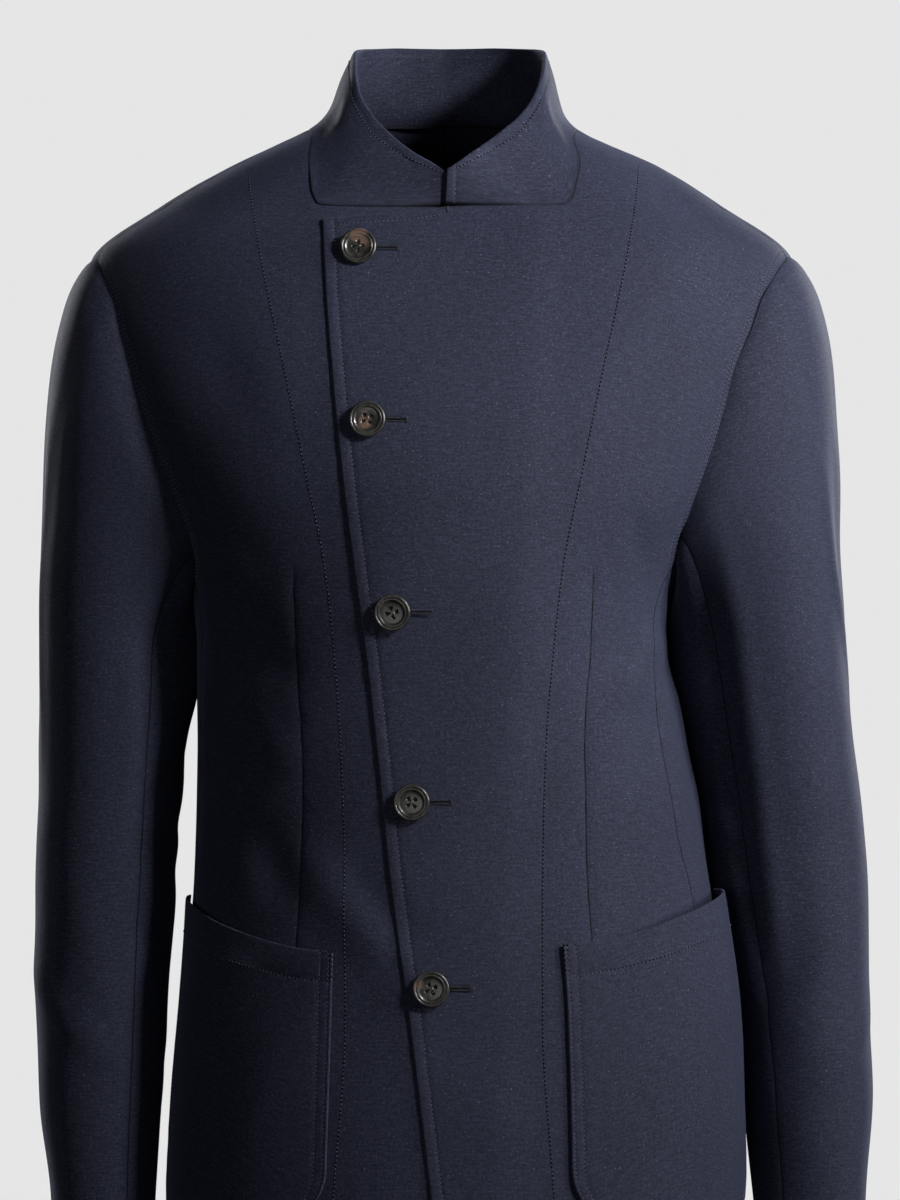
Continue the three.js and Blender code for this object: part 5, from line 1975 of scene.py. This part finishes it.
@dataclass
class PatchPocket:
    """A patch pocket with rounded lower corners, laid on the panels and sewn down by two rows."""

    half: Half
    width: float = 165.0
    bottom: float = -692.0
    corner: float = 36.0
    rest_z: float = -600.0
    skew: float = 2.1
    fade: float = 1.6
    step: float = 3.5
    reach: float = 110.0
    ruler_marks: int = 600
    side_rows: int = 38
    corner_rows: int = 26
    rows_apart: float = 0.004
    mouth_edge: Edge = Edge(rows=(19.0,), puff=0.2, pucker=0.1)
    sewn_edge: Edge = Edge(rows=(2.6, 8.4), puff=0.2, sink=0.1, pucker=0.13, groove=0.3)

    def __post_init__(self) -> None:
        """Lays a ruler round the body from the pocket's inner edge: turns against the ring's length."""
        self.sizes = POCKET_SIZES[self.half.side]
        start = float(FORM.turn_of(self.sizes.inner_x, self.rest_z))
        self.turns = start + self.half.sign * np.linspace(0, self.reach, self.ruler_marks)
        self.run = lengths(FORM.base(self.turns, np.full(self.ruler_marks, self.rest_z)))

    def shares(self) -> Array:
        """Shares down: even on the straight sides, closer round the corners and at the stitches.

        Returns:
            The rows' shares.
        """
        height = self.sizes.mouth_inner - self.bottom
        mouth = np.array(self.mouth_edge.marks()) / height
        straight = 1 - self.corner / height
        side = np.linspace(mouth[-1], straight, self.side_rows)[1:]
        sines = np.sin(np.linspace(0, np.pi / 2, self.corner_rows))
        round_part = 1 - (1 - straight) * (1 - sines)[1:-8]
        low = 1 - np.array(self.sewn_edge.marks())[::-1] / height
        return np.concatenate([mouth, side, round_part[round_part < low[0] - self.rows_apart], low])

    def place(self, s: Array, t: Array) -> tuple[Array, Array]:
        """Turn and height: a rectangle on the ring's length whose lower corners are drawn in.

        Args:
            s: shares across.
            t: shares down.

        Returns:
            Turns and heights.
        """
        z = mix(mix(self.sizes.mouth_inner, self.sizes.mouth_outer, ease(s, 0, 1)), self.bottom, t)
        above = np.minimum(self.corner, z - self.bottom)
        inset = self.corner - np.sqrt(self.corner**2 - (self.corner - above) ** 2)
        return np.interp(mix(inset, self.width - inset, s), self.run, self.turns), z

    def lift(self, a: Array, b: Array, s: Array, t: Array) -> Array:
        """Height over the panels: a gape at the mouth that dies out downwards and to both sides."""
        swell = np.sin(np.pi * s**self.skew) ** 0.8
        return LAID_ON + CLOTH + self.sizes.bulge * swell * (1 - t**self.fade)

    def stitch_lines(self, layout: Layout, patch: Patch) -> list[Line]:
        """The two rows round the pocket, its hem's row and the bars at its upper corners.

        Args:
            layout: the pocket.
            patch: its grid.

        Returns:
            The lines.
        """
        lines = []
        for distance in self.sewn_edge.rows:
            low = layout.row(patch, distance, from_bottom=True)
            near, far = (layout.column(patch, distance, end) for end in (False, True))
            lines += [patch.line(slice(2, low + 1), column) for column in (near, far)]
            lines.append(patch.line(low, slice(near, far + 1)))
        hem = layout.row(patch, self.mouth_edge.rows[0])
        lines.append(patch.line(hem, slice(near, far + 1)))
        for first, last in ((3, near), (far + 1, patch.points.shape[1] - 3)):
            columns = np.unique(np.linspace(first, last, 3).astype(int))
            lines += [patch.line(slice(2, hem + 1), int(column)) for column in columns]
        return lines

    def build(self) -> None:
        """Makes the pocket and its stitches."""
        sewn = (self.sewn_edge,)
        layout = Layout(FORM, self.place, top=(self.mouth_edge,), bottom=sewn, start=sewn, end=sewn,
                        step=self.step, lift=self.lift)
        patch = layout.patch(self.shares())
        word = self.half.side.word
        make_up(f"pocket_{word}", CUTS["pocket"], [patch], self.stitch_lines(layout, patch),
                self.half.finishes)


# Buttons down the left front: distance from the centre, height, and in degrees how far their holes are
# turned and how far they tip forwards on their thread
BUTTON_PLACES = (
    (-53.4, -79, 2, 12), (-47.2, -188, 34, 4), (-31.6, -307.5, 12, 0), (-19.8, -426, 38, 0),
    (-7.9, -542.4, 24, 0),
)
# Button section from the middle of its underside round the rim to the middle of its face
BUTTON_PROFILE = np.array([
    (0, 0), (8.6, 0), (9.8, 0.15), (10.7, 0.7), (11.3, 1.4), (11.5, 2.1), (11.4, 2.7), (11.1, 3.15),
    (10.7, 3.4), (10.3, 3.48), (9.9, 3.4), (9.65, 3.2), (9.5, 3.02), (9.3, 2.98), (9.1, 3.1), (8.85, 3.22),
    (8.5, 3.28), (8.15, 3.2), (7.8, 2.98), (7.4, 2.72), (6.9, 2.52), (6.0, 2.4), (4.5, 2.32), (0, 2.25),
])
# Section of one strand of thread that comes up in a hole
STRAND_PROFILE = ((0, 0.3), (0.8, 0.3), (0.82, 2.2), (0.6, 2.75), (0.3, 2.95), (0, 3.0))


def cut_out(piece: Piece, cutter: Piece) -> None:
    """Takes one closed shape out of another for good.

    Args:
        piece: what is cut.
        cutter: the shape that is taken out and then removed.
    """
    cutting = piece.modifiers.new("cut", "BOOLEAN")
    cutting.operation, cutting.solver, cutting.object = "DIFFERENCE", "EXACT", cutter
    shaped = piece.evaluated_get(bpy.context.evaluated_depsgraph_get())
    mesh = bpy.data.meshes.new_from_object(shaped)
    piece.modifiers.clear()
    old, piece.data = piece.data, mesh
    bpy.data.meshes.remove(old)
    mesh.name = piece.name
    bpy.data.objects.remove(cutter)


def button_piece(piece: Piece, finish: Material) -> None:
    """Gives a button's horn or thread its material and its body.

    Args:
        piece: the horn or the thread.
        finish: its material.
    """
    piece.data.materials.clear()
    piece.data.materials.append(finish)
    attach(piece, BODY_NAME)


@dataclass
class Fastening:
    """Five horn buttons on the right front, drawn through worked buttonholes in the left front."""

    finishes: Finishes
    stitch: Topstitch = Topstitch(radius=0.2, proud=0.14)
    segments: int = 72
    bore_sides: int = 20
    shank_sides: int = 20
    shank_rings: int = 26
    strand_sides: int = 12
    eyelet_points: int = 25
    purl_points: int = 20
    purl_rise: float = 0.1
    purl_tuck: float = 0.1
    purl_from: float = 0.6
    tack_span: tuple[float, float] = (0.5, 2.1)
    stand: float = 1.0
    rim: float = 11.5
    hole_radius: float = 1.05
    hole_circle: float = 2.85
    hole_depth: float = 8.0
    shank_radius: float = 1.18
    shank_foot: float = -1.9
    winding: float = 0.12
    winding_pitch: float = 0.45
    slit_end: float = 23.4
    slit_half: float = 0.32
    slit_floor: float = -5.0
    slit_top: float = 4.0
    eyelet: float = 1.75
    purl: float = 1.5
    purl_pitch: float = 0.5
    tack: float = 4.4
    tack_pitch: float = 0.42

    def placed(self, local: Array, x: float, z: float, spin: float = 0.0, tip: float = 0.0) -> Array:
        """Points of the button's own frame put on the front, turned in the cloth's plane and then tipped
        forwards, with half the rim's drop given back as height.

        Args:
            local: points of the button's frame.
            x: distance from the centre.
            z: height.
            spin: degrees turned.
            tip: degrees tipped.

        Returns:
            The points.
        """
        origin, along, up, normal = frame_on(x, z)
        ct, st = math.cos(math.radians(tip)), math.sin(math.radians(tip))
        up, normal = ct * up + st * normal, ct * normal - st * up
        c, s = math.cos(math.radians(spin)), math.sin(math.radians(spin))
        axes = np.stack([c * along + s * up, c * up - s * along, normal])
        return origin + (local + np.array([0, 0, self.rim / 2 * st])) @ axes

    def four(self, shape: Shape) -> Shape:
        """Four copies of a shape on the circle of the button's holes.

        Args:
            shape: the shape for one hole.

        Returns:
            The copies as one shape.
        """
        angle = circle(4)
        shifts = places(np.cos(angle), np.sin(angle), 0) * self.hole_circle
        return joined([(shape[0] + shift, *shape[1:]) for shift in shifts])

    def disc(self, number: int, *place: float) -> None:
        """One button: the turned profile with four holes bored through it.

        Args:
            number: the button's number.
            place: its row of BUTTON_PLACES.
        """
        points, *faces = turned(BUTTON_PROFILE + np.array([0, self.stand]), self.segments)
        piece = make_mesh(f"button_{number}_horn", self.placed(points, *place), faces)
        ends = (-self.hole_depth, self.hole_depth)
        bore = [(0, ends[0]), *((self.hole_radius, end) for end in ends), (0, ends[1])]
        points, *faces = self.four(turned(bore, self.bore_sides))
        cut_out(piece, make_mesh("bores", self.placed(points, *place), faces))
        button_piece(piece, self.finishes.horn)
        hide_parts(f"button_{number}")

    def thread(self, number: int, *place: float) -> None:
        """The button's thread: a wound shank under it and four strands that come up in its holes.

        Args:
            number: the button's number.
            place: its row of BUTTON_PLACES.
        """
        height = np.linspace(self.shank_foot, self.stand, self.shank_rings)
        radius = self.shank_radius + self.winding * np.cos(height * 2 * np.pi / self.winding_pitch)
        shank = np.vstack([[0, height[0]], np.stack([radius, height], -1), [0, height[-1]]])
        strands = self.four(turned(STRAND_PROFILE, self.strand_sides))
        points, *faces = joined([turned(shank, self.shank_sides), strands])
        piece = make_mesh(f"button_{number}_thread", self.placed(points, *place), faces)
        button_piece(piece, self.finishes.dark_thread)

    def keyhole(self, x: float, z: float) -> Shape:
        """A prism through the cloth: a round eyelet at the shank that runs out into a narrow slit.

        Args:
            x: distance from the centre.
            z: height.

        Returns:
            The prism.
        """
        open_angle = math.asin(self.slit_half / self.eyelet)
        ring = np.linspace(open_angle, 2 * np.pi - open_angle, self.eyelet_points)
        end, half = self.slit_end, self.slit_half
        outline = np.concatenate([
            self.eyelet * places(np.cos(ring), np.sin(ring)), [[end, -half], [end + half, 0], [end, half]],
        ])
        prism = [places(*outline.T, height) for height in (self.slit_floor, self.slit_top)]
        count = len(outline)
        k = np.arange(count)
        after = (k + 1) % count
        walls = np.stack([k, after, after + count, k + count], -1)
        return self.placed(np.concatenate(prism), x, z), walls, np.stack([k[::-1], k + count])

    def purl_line(self, x: float, z: float, start: tuple[float, float], end: tuple[float, float]) -> Line:
        """A straight line on the front between two places of a button's frame."""
        local = np.linspace((*start, self.purl_rise), (*end, self.purl_rise), self.purl_points)
        return self.placed(local, x, z), np.repeat(frame_on(x, z)[3][None], self.purl_points, 0)

    def worked(self, x: float, z: float) -> list[Shape]:
        """The purled edges of one buttonhole and the bar at its end.

        Args:
            x: distance from the centre.
            z: height.

        Returns:
            The close stitches.
        """
        middle = self.slit_half + self.purl / 2 - self.purl_tuck
        bars = []
        for across in (-middle, middle):
            line = self.purl_line(x, z, (self.eyelet + self.purl_from, across), (self.slit_end, across))
            bars.append(self.stitch.bars(line, self.purl, self.purl_pitch))
        near, far = ((self.slit_end + along, -self.purl_tuck) for along in self.tack_span)
        end = self.purl_line(x, z, near, far)
        return [*bars, self.stitch.bars(end, self.tack, self.tack_pitch)]

    def build(self, front: Piece) -> None:
        """Cuts and works the buttonholes in the given front, and makes the buttons and their thread.

        Args:
            front: the left front.
        """
        points, *faces = joined([self.keyhole(x, z) for x, z, _, _ in BUTTON_PLACES])
        cut_out(front, make_mesh("slits", points, faces))
        bars = [bar for x, z, _, _ in BUTTON_PLACES for bar in self.worked(x, z)]
        self.stitch.sew("buttonhole_stitches", [], self.finishes, bars)
        for number, place in enumerate(BUTTON_PLACES, 1):
            self.disc(number, *place)
            self.thread(number, *place)
            log.info("button %d made", number)


@dataclass(frozen=True)
class Lamp:
    """A soft rectangular light in metres: its place, what it points at, its size, power and spread."""

    name: str
    place: tuple[float, float, float]
    aim: tuple[float, float, float]
    size: tuple[float, float]
    watts: float
    spread: float = 180.0

    def build(self) -> None:
        """Adds the light to the scene."""
        data = bpy.data.lights.new(self.name, "AREA")
        data.shape, data.size, data.size_y = "RECTANGLE", *self.size
        data.energy, data.spread = self.watts, math.radians(self.spread)
        lamp = bpy.data.objects.new(self.name, data)
        lamp.location = self.place
        aim = Vector(self.aim) - Vector(self.place)
        lamp.rotation_euler = aim.to_track_quat("-Z", "Y").to_euler()
        bpy.context.scene.collection.objects.link(lamp)


LAMPS = (
    Lamp("key", (3.046, -0.873, 0.345), (0.08, -0.08, 0.0), (0.8, 1.0), 9.4, spread=60),
    Lamp("chest", (1.3, -1.1, 0.6), (0.12, -0.1, -0.1), (0.3, 0.3), 3.8, spread=60),
    Lamp("rim", (-1.73, 1.0, 0.2), (-0.2, 0.0, -0.35), (0.35, 1.5), 3),
    Lamp("fill", (-0.9, -2.7, -0.4), (0.0, 0.0, -0.35), (1.5, 1.0), 8),
    Lamp("back_left", (-1.75, 2.7, 0.5), (-0.05, 0.0, -0.35), (0.9, 1.4), 7.5, spread=60),
    Lamp("back_right", (1.75, 2.7, 0.5), (0.05, 0.0, -0.35), (0.9, 1.4), 9.5, spread=60),
)


@dataclass
class Studio:
    """Pale floor, soft light and the camera at chest height, as far off as the photograph's was."""

    finishes: Finishes
    floor_z: float = -1.5
    floor_rings: tuple[float, ...] = (0.5, 1.2, 2.0, 2.8, 4.0)
    floor_sides: int = 96
    eye: tuple[float, float, float] = (0.0039, -3.2, -0.3)
    lens: float = 147.85
    sensor: float = 36.0
    backdrop: float = 0.79
    ambient: float = 0.004
    blue: float = 1.004

    def build(self) -> None:
        """Adds the floor, the world, the lights and the camera."""
        self.floor()
        self.world()
        bpy.context.scene.view_settings.view_transform = "Standard"
        for lamp in LAMPS:
            lamp.build()
        data = bpy.data.cameras.new("camera")
        data.lens, data.sensor_width, data.sensor_fit = self.lens, self.sensor, "AUTO"
        camera = bpy.data.objects.new("camera", data)
        camera.location, camera.rotation_euler = self.eye, (math.pi / 2, 0, 0)
        bpy.context.scene.collection.objects.link(camera)
        bpy.context.scene.camera = camera

    def floor(self) -> None:
        """A round floor of rings about the middle, which the cloth doesn't see."""
        angle, radii = circle(self.floor_sides), np.array(self.floor_rings)[:, None]
        rings = places(radii * np.cos(angle), radii * np.sin(angle), self.floor_z).reshape(-1, 3) / MM
        k = np.arange(self.floor_sides)
        ring = (np.arange(len(radii) - 1) * self.floor_sides)[:, None]
        after = (k + 1) % self.floor_sides
        corners = (ring + k, ring + self.floor_sides + k, ring + self.floor_sides + after, ring + after)
        floor = make_mesh("floor", rings, [np.stack(corners, -1).reshape(-1, 4), k[None]])
        floor.data.materials.append(self.finishes.floor)
        floor.visible_diffuse = floor.visible_glossy = False

    def world(self) -> None:
        """A pale backdrop for the eye, and a dimmer room that lights the cloth."""
        world = bpy.data.worlds.new("studio")
        world.use_nodes = True
        tree = world.node_tree
        tree.nodes.clear()
        kinds = ("Background", "Background", "LightPath", "MixShader", "OutputWorld")
        seen, lit, path, choice, output = (tree.nodes.new(f"ShaderNode{kind}") for kind in kinds)
        for node, shade in ((seen, self.backdrop), (lit, self.ambient)):
            node.inputs["Color"].default_value = (shade, shade, shade * self.blue, 1)
        links = (
            (path.outputs["Is Camera Ray"], choice.inputs[0]), (lit.outputs[0], choice.inputs[1]),
            (seen.outputs[0], choice.inputs[2]), (choice.outputs[0], output.inputs["Surface"]),
        )
        for start, end in links:
            tree.links.new(start, end)
        bpy.context.scene.world = world


def main() -> None:
    """Builds the jacket piece by piece, and then the studio."""
    logging.basicConfig(level=logging.INFO, format="%(message)s")
    finishes = Finishes()
    fastening = Fastening(finishes)
    for side in Side:
        half = Half(side, finishes)
        front = half.build_front()
        if side is Side.LEFT:
            fastening.build(front)
        half.side_panel()
        half.back_panel()
        Sleeve(half).build()
        PatchPocket(half).build()
        log.info("%s half made", side.word)
    Collar(finishes).build()
    log.info("collar made")
    Studio(finishes).build()


if __name__ == "__main__":
    main()
